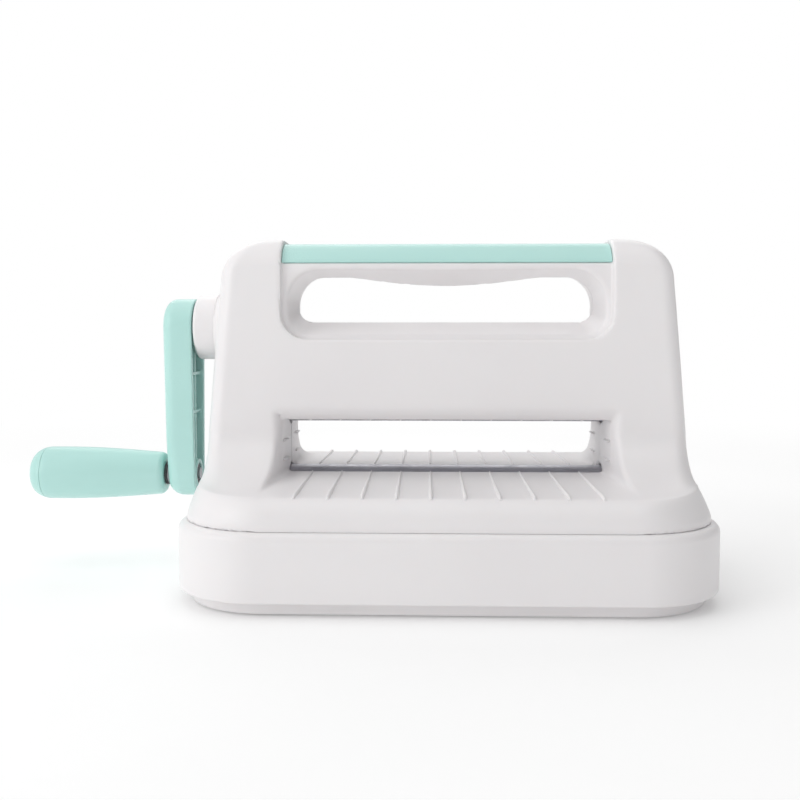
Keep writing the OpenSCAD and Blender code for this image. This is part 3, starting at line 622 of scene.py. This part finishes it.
@dataclass
class Covers:
    """The two moulded covers: a bell-shaped body with a feed slot through it and a carrying handle on top."""

    dresser: Dresser
    wall: float = 2.5
    seam_gap: float = 0.05
    slot_x: float = 80.5
    step_z: float = 51.2
    step_d: float = 82.0
    neck_z: float = 75.5
    neck_d: float = 30.5
    crown_d: float = 27.5
    top_round: float = 16.0
    shoulder_r: float = 22.0
    draft: float = 0.0855
    edge_r: float = 8.0
    hem_r: float = 41.0
    bar_d: float = 24.5
    hole_x: float = 76.2
    hole_z: tuple[float, float] = (128.9, 151.8)
    palm_x: float = 49.5
    palm_drop: float = 4.4
    bevel_out: float = 2.6
    bevel_down: float = 7.0
    pocket_z: float = 120.0
    rear_spread: float = 0.25
    trim_t: float = 2.4
    ribs: int = 10
    cell: float = 1.3
    trim_r: float = 14.5
    collar_r: float = 16.6

    def __post_init__(self) -> None:
        """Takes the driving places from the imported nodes."""
        skirt_low, skirt_high = extent("base_skirt")
        self.seam_z = skirt_high[2] + 0.1
        self.hem_w = skirt_high[0] - 3.3
        self.hem_d = skirt_high[1] - 3.2
        self.top = extent("front_cover")[1][2]
        self.foot_z = self.top - 22
        self.lower_z = middle("lower_roller")[2]
        self.upper_z = middle("upper_roller")[2]
        roller_low, roller_high = extent("upper_roller")
        self.roller_r = (roller_high[2] - roller_low[2]) / 2
        self.rib_top = self.lower_z + self.roller_r - 1
        self.platform_z = self.rib_top - 0.9
        self.ceiling_z = self.upper_z - self.roller_r + 2.8
        self.crank_z = middle("crank_shaft")[2]
        self.trim_z0 = extent("handle_trim")[0][2]
        self.trim_z1 = extent("handle_trim")[1][2]
        self.well_d = self.roller_r + 2
        self.screws = COVER_SCREWS + HANDLE_SCREWS
        self.profiles = {t: self.profile(t) for t in (0.0, self.wall)}

    def profile(self, t: float) -> tuple[np.ndarray, np.ndarray]:
        """Half depth over height, from the seam up, moved inwards by t.

        The hem is an ellipse that ends level, the slope a long hollow ellipse that ends upright, the sides lean
        in a little up to the crown, and the crown is round. Each point moves by t at right angles to its
        neighbours' line.

        Args:
            t: How far the profile moves inwards.

        Returns:
            Heights, rising, and the half depth at each.
        """
        a = np.radians(np.linspace(4, 24, 9))
        r = self.top_round
        line = np.vstack([
            [[self.hem_d, self.seam_z]],
            arc(self.step_d, self.step_z - 11, self.hem_d - self.step_d, 11, 0, 86, 24),
            arc(self.step_d, self.neck_z, self.step_d - self.neck_d, self.neck_z - self.step_z, 267, 180, 80),
            [[self.neck_d - 0.8, 110], [self.neck_d - 1.8, 136]],
            np.stack([self.crown_d + 0.4 - np.degrees(a) * 0.01, self.foot_z + 22 * np.sin(a) - 1], 1),
            arc(self.crown_d - r, self.top - r, r, r, 17, 90, 30)])
        along = np.vstack([line[1:], line[-1:]]) - np.vstack([line[:1], line[:-1]])
        along /= np.linalg.norm(along, axis=1)[:, None]
        moved = line + t * np.stack([-along[:, 1], along[:, 0]], 1)
        return np.maximum.accumulate(moved[:, 1]) + np.arange(len(moved)) * 1e-6, moved[:, 0]

    def half_width(self, z: np.ndarray, t: float) -> np.ndarray:
        """Half width at a height: sides that lean in, then a round shoulder, moved inwards by t."""
        r = self.shoulder_r - t
        h = np.clip(z - self.foot_z, 0, r - 0.01)
        lean = self.draft * (np.minimum(z, self.foot_z) - self.seam_z)
        return self.hem_w - t - lean - r + np.sqrt(r * r - h * h)

    def plan(self, x: np.ndarray, y: np.ndarray, z: np.ndarray, t: float) -> np.ndarray:
        """How far a point lies outside the rounded rectangle of its own height, whose corners are ellipses."""
        heights, depths = self.profiles[t]
        d = np.interp(z, heights, depths)
        w = self.half_width(z, t)
        out = d + t
        share = np.clip((out - self.neck_d) / (self.hem_d - self.neck_d), 0, 1)
        rx = np.maximum(self.edge_r + (self.hem_r - self.edge_r) * share ** 1.3 - t, 2)
        level = np.clip((out - self.step_d) / 3, 0, 1)
        low = self.hem_r + 19 * np.maximum(0, 1 - (self.step_z - z) / 11)
        ry = level * low + (1 - level) * (self.edge_r + 52 * share ** 0.8)
        ry = np.maximum(np.minimum(ry, 0.85 * out) - t, 2)
        u, v = (np.abs(x) - w + rx) / rx, (np.abs(y) - d + ry) / ry
        both = (u > 0) & (v > 0)
        uu, vv = np.where(both, u * u, 1), np.where(both, v * v, 0)
        corner = (np.sqrt(uu + vv) - 1) * (uu * rx + vv * ry) / (uu + vv)
        return np.where(both, corner, np.maximum(np.abs(x) - w, np.abs(y) - d))

    def bell(self, x: np.ndarray, y: np.ndarray, z: np.ndarray, t: float) -> np.ndarray:
        """Distance to the body's outside moved inwards by t: the plan's, over the length of its slope."""
        flat = self.plan(x, y, z, t)
        h = 0.4
        rise = (self.plan(x, y, z + h, t) - self.plan(x, y, z - h, t)) / (2 * h)
        return np.maximum(flat / np.sqrt(1 + rise * rise), z - self.top + t)

    def way(self, x: np.ndarray, y: np.ndarray, z: np.ndarray, t: float = 0.0) -> np.ndarray:
        """Distance to the way through for plates, grown by t: it widens and rises towards both ends."""
        s = np.abs(y)
        spread = np.where(y > 0, self.rear_spread, 1.0)
        at = [0, self.well_d, self.neck_d - 4, self.neck_d + 0.6,
              self.step_d - 20, self.step_d, self.step_d + 50]
        low_w = self.slot_x + spread * np.interp(s, at, [0, 0, 0.7, 1, 3.4, 4.4, 5]) + t
        top_w = self.slot_x + spread * np.interp(s, at, [0, 0, 0.7, 4.3, 9, 10, 11]) + t
        top = np.interp(s, at, self.ceiling_z + np.array([0, 0, 0, 5, 14, 20, 20])) + t
        lean = np.interp(s, [self.neck_d - 5, self.neck_d - 3], [1, 0.75])
        fall = np.clip((s - self.well_d) / (self.step_d - self.well_d), 0, 1)
        floor = self.platform_z - (self.platform_z - self.step_z) * fall - t
        width = low_w + (top_w - low_w) * np.clip((z - floor) / (top - floor), 0, 1)
        sides = np.abs(x) - width
        fillet = np.interp(y, [-self.step_d, -self.neck_d, self.well_d, self.well_d + 14], [0.8, 2.6, 2.6, 8])
        return rounded_both(rounded_both(sides, floor - z, fillet), (z - top) * lean, 1.2)

    def hole(self, x: np.ndarray, y: np.ndarray, z: np.ndarray, t: float = 0.0) -> np.ndarray:
        """Distance to the handle's opening: it widens to both faces from its waist, which swells at the palm."""
        e = np.clip(np.abs(y) / (self.bar_d + 1), 0, 1)
        g, f = t + e * self.bevel_out, t + e * self.bevel_down
        palm = (1 - e) * self.palm_drop * (1 - np.clip(np.abs(x) / self.palm_x, 0, 1) ** 2) ** 1.3
        sides = np.abs(x) - self.hole_x - g
        lower = self.hole_z[0] - f - z
        upper = z - self.hole_z[1] - g + palm
        return np.maximum(rounded_both(sides, lower, 8 + g), rounded_both(sides, upper, 14 + g))

    def grip_bar(self, y: np.ndarray, z: np.ndarray, d: float, inset: float = 0.0) -> np.ndarray:
        """Distance to the handle's section, round on top, with half depth d."""
        top = self.trim_z1 - self.trim_t - inset
        return rounded_both(np.abs(y) - d, z - top, self.trim_r - self.trim_t - inset)

    def pocket(self, x: np.ndarray, y: np.ndarray, z: np.ndarray) -> np.ndarray:
        """Distance to what the pocket takes away, in front of the handle and above it."""
        tongue = self.bar_d - self.trim_t + 0.4
        lower = np.maximum(self.grip_bar(y, z, self.bar_d), z - self.trim_z0 + 0.1)
        handle = np.minimum(self.grip_bar(y, z, tongue), lower)
        return rounded_both(rounded_both(np.abs(x) - self.slot_x - 1, self.pocket_z - z, 13), -handle, 0.6)

    def kept(self, x: np.ndarray, y: np.ndarray, z: np.ndarray) -> np.ndarray:
        """Distance to what stays solid inside: walls round the way, the opening, the pocket, and the bosses."""
        between = np.maximum(np.abs(x) - self.slot_x, np.abs(y) - self.well_d)
        walls = np.maximum(self.way(x, y, z, self.wall), -between)
        lip = np.maximum(np.abs(x) - self.slot_x - self.wall, np.abs(np.abs(y) - self.well_d - 1.25) - 1.25)
        for foot in (self.lower_z - 6, self.ceiling_z):
            walls = np.minimum(walls, np.maximum(lip, np.abs(z - foot - 8) - 8))
        inner = self.grip_bar(y, z, self.bar_d - self.trim_t + 0.4 - self.wall, self.wall)
        outline = rounded_both(np.abs(x) - self.slot_x - 1 - self.wall, self.pocket_z - self.wall - z, 13)
        walls = np.minimum(walls, np.maximum(outline, -inner))
        walls = np.minimum(walls, self.hole(x, y, z, self.wall))
        for px, pz in self.screws:
            walls = np.minimum(walls, rod(x, z, (px, pz), 5.4))
        return walls

    def body(self, x: np.ndarray, y: np.ndarray, z: np.ndarray) -> np.ndarray:
        """Distance to both covers together, hollow, with every opening and rounded rims."""
        flare = np.clip(x + 117.5, -1, 12) * 0.35
        ring = np.maximum(np.hypot(y, z - self.crank_z) - 17.6 - flare, -117.3 - x)
        ring = np.maximum(ring, x + 105)
        outer = rounded_either(self.bell(x, y, z, 0.0), ring, 4)
        hollow = np.maximum(self.bell(x, y, z, self.wall), -self.kept(x, y, z))
        rim = np.interp(np.abs(y), [self.neck_d, self.step_d], [2.2, 0.5])
        solid = np.maximum(carved(outer, self.way(x, y, z), rim), self.seam_z - z)
        solid = carved(carved(solid, self.pocket(x, y, z), 0.8), self.hole(x, y, z), 1.6)
        solid = np.maximum(solid, -hollow)
        well = np.maximum(np.maximum(np.abs(x) - self.slot_x, np.abs(y) - self.well_d), z - self.upper_z - 8)
        wells = np.minimum(*(rod(y, z, (0, height), self.roller_r + 1) for height in (self.lower_z, self.upper_z)))
        wells = np.maximum(wells, np.abs(x) - 83.5)
        solid = np.maximum(solid, -np.minimum(well, wells))
        return np.maximum(solid, -np.maximum(rod(y, z, (0, self.crank_z), self.collar_r), x + 90))

    def half(self, side: int) -> Solid:
        """The distance to one cover.

        Args:
            side: -1 for the front one, 1 for the rear one.

        Returns:
            A function of whole arrays.
        """

        def solid(x: np.ndarray, y: np.ndarray, z: np.ndarray) -> np.ndarray:
            whole = np.maximum(self.body(x, y, z), self.seam_gap - side * y)
            if side > 0:
                for px, pz in self.screws:
                    whole = carved(whole, np.maximum(rod(x, z, (px, pz), 3.3), 12 - y), 0.5)
            return whole

        return solid

    def rib(self, x: float, side: int) -> Skin:
        """One guide rib: a bar with a round top that widens outwards and ends in a blunt slope.

        Args:
            x: Its place.
            side: -1 in front, 1 behind.

        Returns:
            The rib.
        """
        share = np.linspace(0, 1, 25)
        run = self.well_d + 2.2 + (self.step_d + 4 - self.well_d - 2.2) * share
        end = np.clip((share - 0.93) / 0.07, 0, 1)
        half = (0.5 + 0.55 * share) * (1 - 0.45 * end) * np.clip(share / 0.03, 0.4, 1)
        top = self.rib_top - (self.rib_top - self.step_z - 1.2) * share - 1.1 * end ** 2
        section = np.vstack([[[-1, 0]], arc(0, 0.55, 1, 0.45, 180, 0, 10), [[1, 0]]])
        floor = self.step_z - 1.4
        points = np.stack([x + half[:, None] * section[:, 0],
                           side * run[:, None] + 0 * section[:, 0],
                           floor + (top - floor)[:, None] * section[:, 1]], 2)
        rows, columns = points.shape[:2]
        middles = points[[0, -1]].mean(1)
        caps = np.stack([np.broadcast_to(m, (columns, 3)) for m in middles])
        closed = np.concatenate([caps[:1], points, caps[1:]])
        faces = grid_faces(rows + 2, columns, False)
        return Skin(closed.reshape(-1, 3), faces if side < 0 else faces[:, ::-1])

    def details(self, side: int) -> Skin:
        """The guide ribs, the short ribs under the ceiling and the level ribs on the slot's side walls."""
        places = [(i / (self.ribs - 1) - 0.5) * (2 * self.slot_x - 26) for i in range(self.ribs)]
        skins = [self.rib(x, side) for x in places]
        skins += [self.bead((x, self.ceiling_z), (0.6, 0.7), side) for x in places]
        for s in (-1, 1):
            for z in (60.0, 69.5):
                skins.append(self.bead((s * self.slot_x, z), (1.3, 0.5), side))
        return Skin.joined(skins)

    def bead(self, at: tuple[float, float], half: tuple[float, float], side: int) -> Skin:
        """A small level bead along Y, oval in section, with pointed ends, from the roller's well to the rim."""
        turn = np.linspace(0, 2 * np.pi, 12, endpoint=False)
        share = np.linspace(0, 1, 9)
        run = side * (self.well_d + 0.5 + (self.neck_d - self.well_d - 5) * share)
        size = np.sqrt(np.clip(1 - np.abs(2 * share - 1) ** 8, 0, 1))[:, None]
        points = np.stack([at[0] + half[0] * size * np.cos(turn), run[:, None] + 0 * turn,
                           at[1] + half[1] * size * np.sin(turn)], 2)
        faces = grid_faces(len(share), len(turn), False)
        return Skin(points.reshape(-1, 3), faces if side < 0 else faces[:, ::-1])

    def build(self) -> None:
        """Makes both covers."""
        high = (self.hem_w + 2, self.hem_d + 2, self.top + 2)
        for side, name in ((-1, "front_cover"), (1, "rear_cover")):
            y = (-high[1], 1.5) if side < 0 else (-1.5, high[1])
            low = (-high[0], y[0], self.seam_z - 2)
            shell = skin_of(self.half(side), low, (high[0], y[1], high[2]), self.cell)
            whole = Skin.joined([shell, self.details(side)])
            self.dresser.piece(name + "_shell", whole, (name,), merge=0.01, sharp=55)


# ---- The base ----


@dataclass
class Base:
    """The skirt round the foot of the machine."""

    dresser: Dresser
    corner_r: float = 41.7
    wall: float = 2.5
    edge_r: float = 4.0

    def build(self) -> None:
        """Makes the skirt: its section, a closed loop of distances inwards and heights, goes round the plan."""
        low, high = extent("base_skirt")
        top, lip = high[2], 10.6
        section = np.vstack([
            arc(0.9, low[2] + 0.9, 0.9, 0.9, 270, 180, 6), [[0, low[2] + 8], [0, top - self.edge_r - 6]],
            arc(self.edge_r, top - self.edge_r, self.edge_r, self.edge_r, 180, 90, 14), [[7, top]],
            arc(lip - 0.5, top - 0.5, 0.5, 0.5, 90, 0, 4),
            arc(lip - 0.5, top - self.wall - 0.5, 0.5, 0.5, 0, -90, 4),
            arc(self.wall + 2, top - self.wall - 3, 2, 2, 90, 180, 6), [[self.wall, low[2] + 8]],
            arc(self.wall - 0.5, low[2] + 0.5, 0.5, 0.5, 0, -90, 4)])
        rings = []
        for inset, z in section:
            line = plan_outline(high[0] - inset, high[1] - inset, self.corner_r - inset)
            rings.append(np.column_stack([line, np.full(len(line), z)]))
        points = np.stack(rings)
        skin = Skin(points.reshape(-1, 3), grid_faces(len(rings), points.shape[1], True))
        self.dresser.piece("base_skirt_shell", skin, ("base_skirt",), merge=0.01, sharp=50)


# ---- The handle's trim ----


@dataclass
class Trim:
    """The coloured strip that clips over the handle."""

    dresser: Dresser
    thickness: float = 2.4
    round_r: float = 14.5

    def build(self) -> None:
        """Makes the strip: a hooped section with round lower edges, carried along X, with rounded ends."""
        low, high = extent("handle_trim")
        d, top, foot, t = high[1], high[2], low[2], self.thickness
        r, e = self.round_r, 0.5
        rise = foot + e - top + r
        a0, a1 = math.degrees(math.asin(rise / r)), math.degrees(math.asin(rise / (r - t)))
        axis = d - r * math.cos(math.asin((foot - top + r) / r))
        out, within = axis + r * math.cos(math.radians(a0)), axis + (r - t) * math.cos(math.radians(a1))
        section = np.vstack([
            arc(out - e, foot + e, e, e, -90, 0, 4), arc(axis, top - r, r, r, a0, 90, 24)[1:],
            arc(-axis, top - r, r, r, 90, 180 - a0, 24)[:-1], arc(e - out, foot + e, e, e, 180, 270, 4),
            arc(-within - e, foot + e, e, e, 270, 360, 4),
            arc(-axis, top - r, r - t, r - t, 180 - a1, 90, 24)[1:],
            arc(axis, top - r, r - t, r - t, 90, a1, 24)[:-1], arc(within + e, foot + e, e, e, 180, 270, 4)])
        skin = prism(section, low[0], high[0], 12)
        self.dresser.piece("handle_trim_strip", skin, ("handle_trim",), merge=0.01, caps=True, bevel=0.4,
                           sharp=50)


# ---- The crank ----


@dataclass
class Crank:
    """The arm, its collar and cap, and the grip with its end cap."""

    dresser: Dresser
    top_r: float = 14.9
    end_r: float = 11.5
    edge_r: float = 6.0
    end_edge_r: float = 8.0
    wall: float = 3.0
    cap_length: float = 7.3
    grip_slim: float = 0.79

    def __post_init__(self) -> None:
        """Takes the crank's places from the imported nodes."""
        self.axis_z = middle("crank_shaft")[2]
        self.grip_z = middle("crank_grip")[2]
        low, high = extent("crank_arm")
        self.outer_x, self.inner_x = low[0], high[0]
        grip_low, grip_high = extent("crank_grip")
        self.grip_x = grip_high[0]
        self.grip_end = extent("grip_cap")[0][0]
        self.grip_r = (grip_high[2] - grip_low[2]) / 2

    def plate(self, y: np.ndarray, z: np.ndarray, inset: float) -> np.ndarray:
        """Distance to the arm's outline: two circles of unlike size and their tangent sides, moved inwards."""
        r0, r1, length = self.top_r - inset, self.end_r - inset, self.axis_z - self.grip_z
        p, q = np.abs(y), self.axis_z - z
        b = (r0 - r1) / length
        a = math.sqrt(1 - b * b)
        k = a * q - b * p
        near = np.hypot(p, q) - r0
        end = np.hypot(p, q - length) - r1
        return np.where(k < 0, near, np.where(k > a * length, end, p * a + q * b - r0))

    def arm(self, x: np.ndarray, y: np.ndarray, z: np.ndarray) -> np.ndarray:
        """Distance to the arm: rounded outside, hollow towards the machine, with bosses and ribs."""
        face = self.outer_x - x
        edge = np.interp(z, [self.grip_z, self.grip_z + 20], [self.end_edge_r, self.edge_r])
        outside = rounded_both(self.plate(y, z, 0.0), face, edge)
        outside = rounded_both(outside, x - self.inner_x, 0.6)
        channel = np.maximum(self.plate(y, z, self.wall), self.outer_x + 5.4 - x)
        bosses = np.minimum(rod(y, z, (0, self.axis_z), 9.2), rod(y, z, (0, self.grip_z), 7.6))
        ribs = np.maximum(np.maximum(np.abs(y) - 0.8, self.grip_z - z), z - self.axis_z)
        for z0 in (102.0, 82.0):
            ribs = np.minimum(ribs, np.abs(z - z0) - 0.8)
        bosses = np.minimum(bosses, np.maximum(ribs, x - self.inner_x + 1.6))
        solid = carved(outside, rounded_both(channel, -bosses, 0.5), 0.5)
        shaft = np.maximum(rod(y, z, (0, self.axis_z), 6.05), self.inner_x - 10.2 - x)
        seat = np.maximum(rod(y, z, (0, self.axis_z), 6.4), x - self.outer_x - 1.9)
        nut = np.maximum(rod(y, z, (0, self.grip_z), 5.4), self.inner_x - 4.6 - x)
        holes = np.minimum(np.minimum(shaft, seat), np.minimum(nut, rod(y, z, (0, self.grip_z), 3.05)))
        holes = np.minimum(holes, rod(y, z, (0, self.axis_z), 2.6))
        return carved(solid, holes, 0.35)

    def build_arm(self) -> None:
        """Makes the arm."""
        low = (self.outer_x - 1.5, -self.top_r - 1.5, self.grip_z - self.end_r - 1.5)
        high = (self.inner_x + 1.5, self.top_r + 1.5, self.axis_z + self.top_r + 1.5)
        self.dresser.piece("crank_arm_moulding", skin_of(self.arm, low, high, 0.6), ("crank_arm",), sharp=55)

    def build_collar(self) -> None:
        """Makes the white collar: turned, with a round outer edge, a bore and a hidden flange."""
        low, high = extent("crank_collar")
        x, r, e = low[0], 16.4, 1.9
        profile = np.vstack([
            [[high[0], 17.8], [high[0] - 1.3, 17.8], [high[0] - 1.3, r]],
            arc(x + e, r - e, e, e, 90, 180, 10),
            [[x, 7.3], [x + 0.5, 6.8], [-112.5, 6.8], [-112.5, 13], [high[0], 13]]])
        ring = turned(profile, self.axis_z, 128, closed=True)
        self.dresser.piece("crank_collar_ring", ring, ("crank_collar",), merge=0.005, sharp=45)

    def radius(self, run: np.ndarray, length: float) -> np.ndarray:
        """Radius of the grip at a distance from its inner end: slim at the arm and full near the far end."""
        rise = np.minimum(run / (length - 8) * 1.18, 1.06)
        return self.grip_r * (self.grip_slim + (1 - self.grip_slim) * np.sin(np.radians(90 * rise)))

    def outline(self, start: float, end: float, length: float) -> np.ndarray:
        """The grip's outline from start to end along its length; its far end closes in over the last 10 mm."""
        run = np.linspace(start, end, 60)
        past = np.clip((run - (length - 10)) / 10, 0, 1)
        r = self.radius(np.minimum(run, length - 10), length) - 7.5 * (1 - np.sqrt(1 - past ** 2))
        return np.stack([self.grip_x - run, r], 1)

    def build_grip(self) -> None:
        """Makes the grip with its bore, and its end cap with a fine dished face."""
        length = self.grip_x - self.grip_end
        joint = length - self.cap_length
        e = 3.0
        a = np.radians(np.linspace(0, 90, 10))
        start_r = self.radius(np.array([e]), length)
        lead = np.stack([self.grip_x - (e - e * np.cos(a)), start_r - e * (1 - np.sin(a))], 1)
        side = self.outline(e, joint - 0.1, length)[1:]
        edge = self.outline(joint, joint, length)[0]
        bore = np.array([[edge[0], edge[1] - 0.2], [edge[0], 6.4], [self.grip_end + 12.2, 6.4],
                         [self.grip_end + 12.2, 4.1], [self.grip_x, 4.1]])
        barrel = turned(np.vstack([lead, side, bore]), self.grip_z, 128, closed=True)
        self.dresser.piece("crank_grip_barrel", barrel, ("crank_grip",), merge=0.005, sharp=45)
        shell = self.outline(joint + 0.12, length, length)
        face_r = shell[-1, 1]
        share = np.linspace(1, 0, 12)
        face = np.stack([self.grip_end + 0.25 * (1 - share ** 2), face_r * share], 1)
        back = self.grip_end + self.cap_length
        inner = np.array([[back - 2.4, 0], [back - 2.4, 6.4], [back - 0.1, 6.4],
                          [back - 0.1, shell[0, 1] - 0.25]])
        self.dresser.piece("grip_end_cap", turned(np.vstack([inner, shell, face[1:]]), self.grip_z, 128),
                           ("grip_cap",), merge=0.005, sharp=45)

    def build_cap(self) -> None:
        """Makes the small cap over the crank's screw: a shallow dome with a rim."""
        low, high = extent("crank_cap")
        x, r = low[0], 6.3
        dome = arc(x + 1.0, r - 1.0, 1.0, 1.0, 90, 180, 8)
        top = np.stack([np.full(10, x), np.linspace(r - 1.0, 0, 10)], 1)[1:]
        back = np.array([[x + 0.65, 0], [x + 0.65, 5.1], [high[0], 5.1], [high[0], r]])
        disc = turned(np.vstack([back, dome, top]), self.axis_z, 96)
        self.dresser.piece("crank_cap_disc", disc, ("crank_cap",), merge=0.005, sharp=45)

    def build(self) -> None:
        """Makes every piece of the crank."""
        self.build_arm()
        self.build_collar()
        self.build_cap()
        self.build_grip()


# ---- The screws in the back ----


@dataclass
class BackScrews:
    """Pan-headed screws with a cross recess, sunk in the rear cover."""

    dresser: Dresser
    head_r: float = 3.0
    shank_r: float = 1.45

    def screw(self, x: np.ndarray, y: np.ndarray, z: np.ndarray, head_y: float, tip_y: float) -> np.ndarray:
        """Distance to one screw about x = z = 0: a domed head with a cross recess, and a threaded shank."""
        r = np.hypot(x, z)
        dome = np.hypot(r, y - (head_y - 3.0)) - 3.0
        head = rounded_both(np.maximum(r - self.head_r, dome), head_y - 2.3 - y, 0.2)
        depth = np.clip(head_y - y, 0, 3)
        arm_w = 0.55 - 0.12 * depth
        cross = np.minimum(np.maximum(np.abs(x) - arm_w, np.abs(z) - 1.75 + 0.5 * depth),
                           np.maximum(np.abs(z) - arm_w, np.abs(x) - 1.75 + 0.5 * depth))
        head = np.maximum(head, -np.maximum(cross, head_y - 1.5 - y))
        turn = np.arctan2(z, x) / (2 * np.pi)
        thread = 0.28 * np.abs(2 * ((y / 1.1 + turn) % 1) - 1)
        shank = np.maximum(np.maximum(r - self.shank_r + thread, y - head_y + 2), tip_y - y)
        return np.minimum(head, shank)

    def build(self) -> None:
        """Makes one screw and repeats it at each place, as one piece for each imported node."""
        for node, places in (("cover_screws", COVER_SCREWS), ("handle_screws", HANDLE_SCREWS)):
            low, high = extent(node)
            shape = partial(self.screw, head_y=high[1], tip_y=low[1])
            one = skin_of(shape, (-3.4, low[1] - 0.5, -3.4), (3.4, high[1] + 0.5, 3.4), 0.22)
            copies = [Skin(one.points + [x, 0, z], one.faces) for x, z in places]
            self.dresser.piece(node + "_threaded", Skin.joined(copies), (node,), sharp=40)


# ---- The studio ----


@dataclass
class Studio:
    """A pale floor, soft light and the camera."""

    eye: tuple[float, float, float] = (-9.13, -487.63, 120.31)
    yaw: float = 1.68
    pitch: float = 3.76
    roll: float = -0.02
    focal: float = 42.07
    surround: tuple[float, float] = (0.78, 0.30)

    def floor(self) -> None:
        """A level sheet of pale paper, far wider than the object, that turns evenly white with distance."""
        line = np.stack([np.linspace(-3000, 9000, 13), np.zeros(13)], 1)
        x = np.linspace(-6000, 6000, 9)
        points = np.stack([np.broadcast_to(x, (len(line), 9)), np.repeat(line[:, :1], 9, 1),
                           np.repeat(line[:, 1:], 9, 1)], 2).reshape(-1, 3)
        r, c = np.meshgrid(np.arange(len(line) - 1), np.arange(8), indexing="ij")
        faces = np.stack([r * 9 + c, r * 9 + c + 1, (r + 1) * 9 + c + 1, (r + 1) * 9 + c], 2).reshape(-1, 4)
        mesh = bpy.data.meshes.new("floor")
        mesh.from_pydata((points * MM).tolist(), [], faces.tolist())
        mesh.shade_smooth()
        floor = bpy.data.objects.new("floor", mesh)
        bpy.context.scene.collection.objects.link(floor)
        material = bpy.data.materials.new("floor_paper")
        material.use_nodes = True
        nodes = Nodes(material.node_tree)
        at = nodes.add("TexCoord").outputs["Object"]
        shader = material.node_tree.nodes["Principled BSDF"]
        ramp = nodes.spread(nodes.noise(at, 3.0, 3.0), 0.3, 0.7, 0.0, 1.0)
        tones, blended = nodes.blend(ramp)
        tones[0].default_value, tones[1].default_value = (0.90, 0.90, 0.90, 1), (0.93, 0.93, 0.93, 1)
        away = nodes.add("VectorMath", {0: at}, operation="LENGTH").outputs["Value"]
        far = nodes.spread(away, 0.30, 1.0, 0.0, 1.0)
        near = nodes.add("MapRange", {"Value": far, "To Min": 1.0, "To Max": 0.0}).outputs["Result"]
        paper = nodes.add("VectorMath", {0: blended, "Scale": near}, operation="SCALE").outputs[0]
        level = nodes.add("MapRange", {"Value": far, "To Min": 0.12, "To Max": 1.0}).outputs["Result"]
        glow = nodes.add("CombineXYZ", {"X": level, "Y": level, "Z": level}).outputs[0]
        material.node_tree.links.new(paper, shader.inputs["Base Color"])
        material.node_tree.links.new(glow, shader.inputs["Emission Color"])
        shader.inputs["Emission Strength"].default_value = 1.0
        shader.inputs["Specular IOR Level"].default_value = 0.0
        shader.inputs["Roughness"].default_value = 0.85
        mesh.materials.append(material)

    def lamp(self, name: str, at: tuple[float, float, float], size: tuple[float, float], power: float,
             aim: tuple[float, float, float] = (0, 0, 80)) -> None:
        """A soft rectangular lamp.

        Args:
            name: Its name.
            at: Its place.
            size: Its width and height.
            power: Its power in watts.
            aim: The point that it faces.
        """
        data = bpy.data.lights.new(name, "AREA")
        data.shape, data.size, data.size_y, data.energy = "RECTANGLE", size[0] * MM, size[1] * MM, power
        lamp = bpy.data.objects.new(name, data)
        place = Vector(at) * MM
        lamp.location = place
        lamp.rotation_euler = (Vector(aim) * MM - place).to_track_quat("-Z", "Y").to_euler()
        bpy.context.scene.collection.objects.link(lamp)

    def light(self) -> None:
        """Soft light from above and the left, and a pale surround that is dimmer on the right."""
        self.lamp("overhead", (-100, -150, 1100), (1400, 1200), 3.9)
        self.lamp("left", (-1000, -700, 500), (700, 900), 3.6)
        self.lamp("right", (1000, -500, 450), (600, 900), 0.15)
        self.lamp("behind", (0, 900, 900), (1600, 700), 4)
        world = bpy.data.worlds.new("surround")
        world.use_nodes = True
        nodes = Nodes(world.node_tree)
        seen = nodes.add("LightPath").outputs["Is Camera Ray"]
        across = nodes.add("SeparateXYZ", {0: nodes.add("TexCoord").outputs["Generated"]}).outputs["X"]
        ambient = nodes.spread(across, -1.0, 1.0, self.surround[0], self.surround[1])
        strength = nodes.add("MapRange", {"Value": seen, "To Min": ambient, "To Max": 1.0}).outputs["Result"]
        surround = world.node_tree.nodes["Background"]
        surround.inputs["Color"].default_value = (1.0, 1.0, 1.0, 1)
        world.node_tree.links.new(strength, surround.inputs["Strength"])
        bpy.context.scene.world = world
        bpy.context.scene.view_settings.view_transform = "Standard"

    def camera(self) -> None:
        """The camera, a little above the crank's height and turned slightly to the left."""
        data = bpy.data.cameras.new("camera")
        data.lens, data.sensor_width, data.clip_start = self.focal, 36, 0.01
        camera = bpy.data.objects.new("camera", data)
        camera.rotation_mode = "XYZ"
        camera.location = Vector(self.eye) * MM
        camera.rotation_euler = [math.radians(turn) for turn in (90 - self.pitch, self.roll, self.yaw)]
        bpy.context.scene.collection.objects.link(camera)
        bpy.context.scene.camera = camera

    def build(self) -> None:
        """Sets up the floor, the lamps and the camera."""
        self.floor()
        self.light()
        self.camera()


def main() -> None:
    """Builds the studio, then every sub-assembly and its finishes."""
    logging.basicConfig(level=logging.INFO, format="%(message)s")
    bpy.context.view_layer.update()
    Studio().build()
    slots = {part["node"]: part["material_slot"] for part in frame["record"]["subparts"]}
    dresser = Dresser(Finishes().made(), slots)
    dresser.dress_nodes()
    Base(dresser).build()
    Trim(dresser).build()
    Crank(dresser).build()
    BackScrews(dresser).build()
    Covers(dresser).build()


if __name__ == "__main__":
    main()
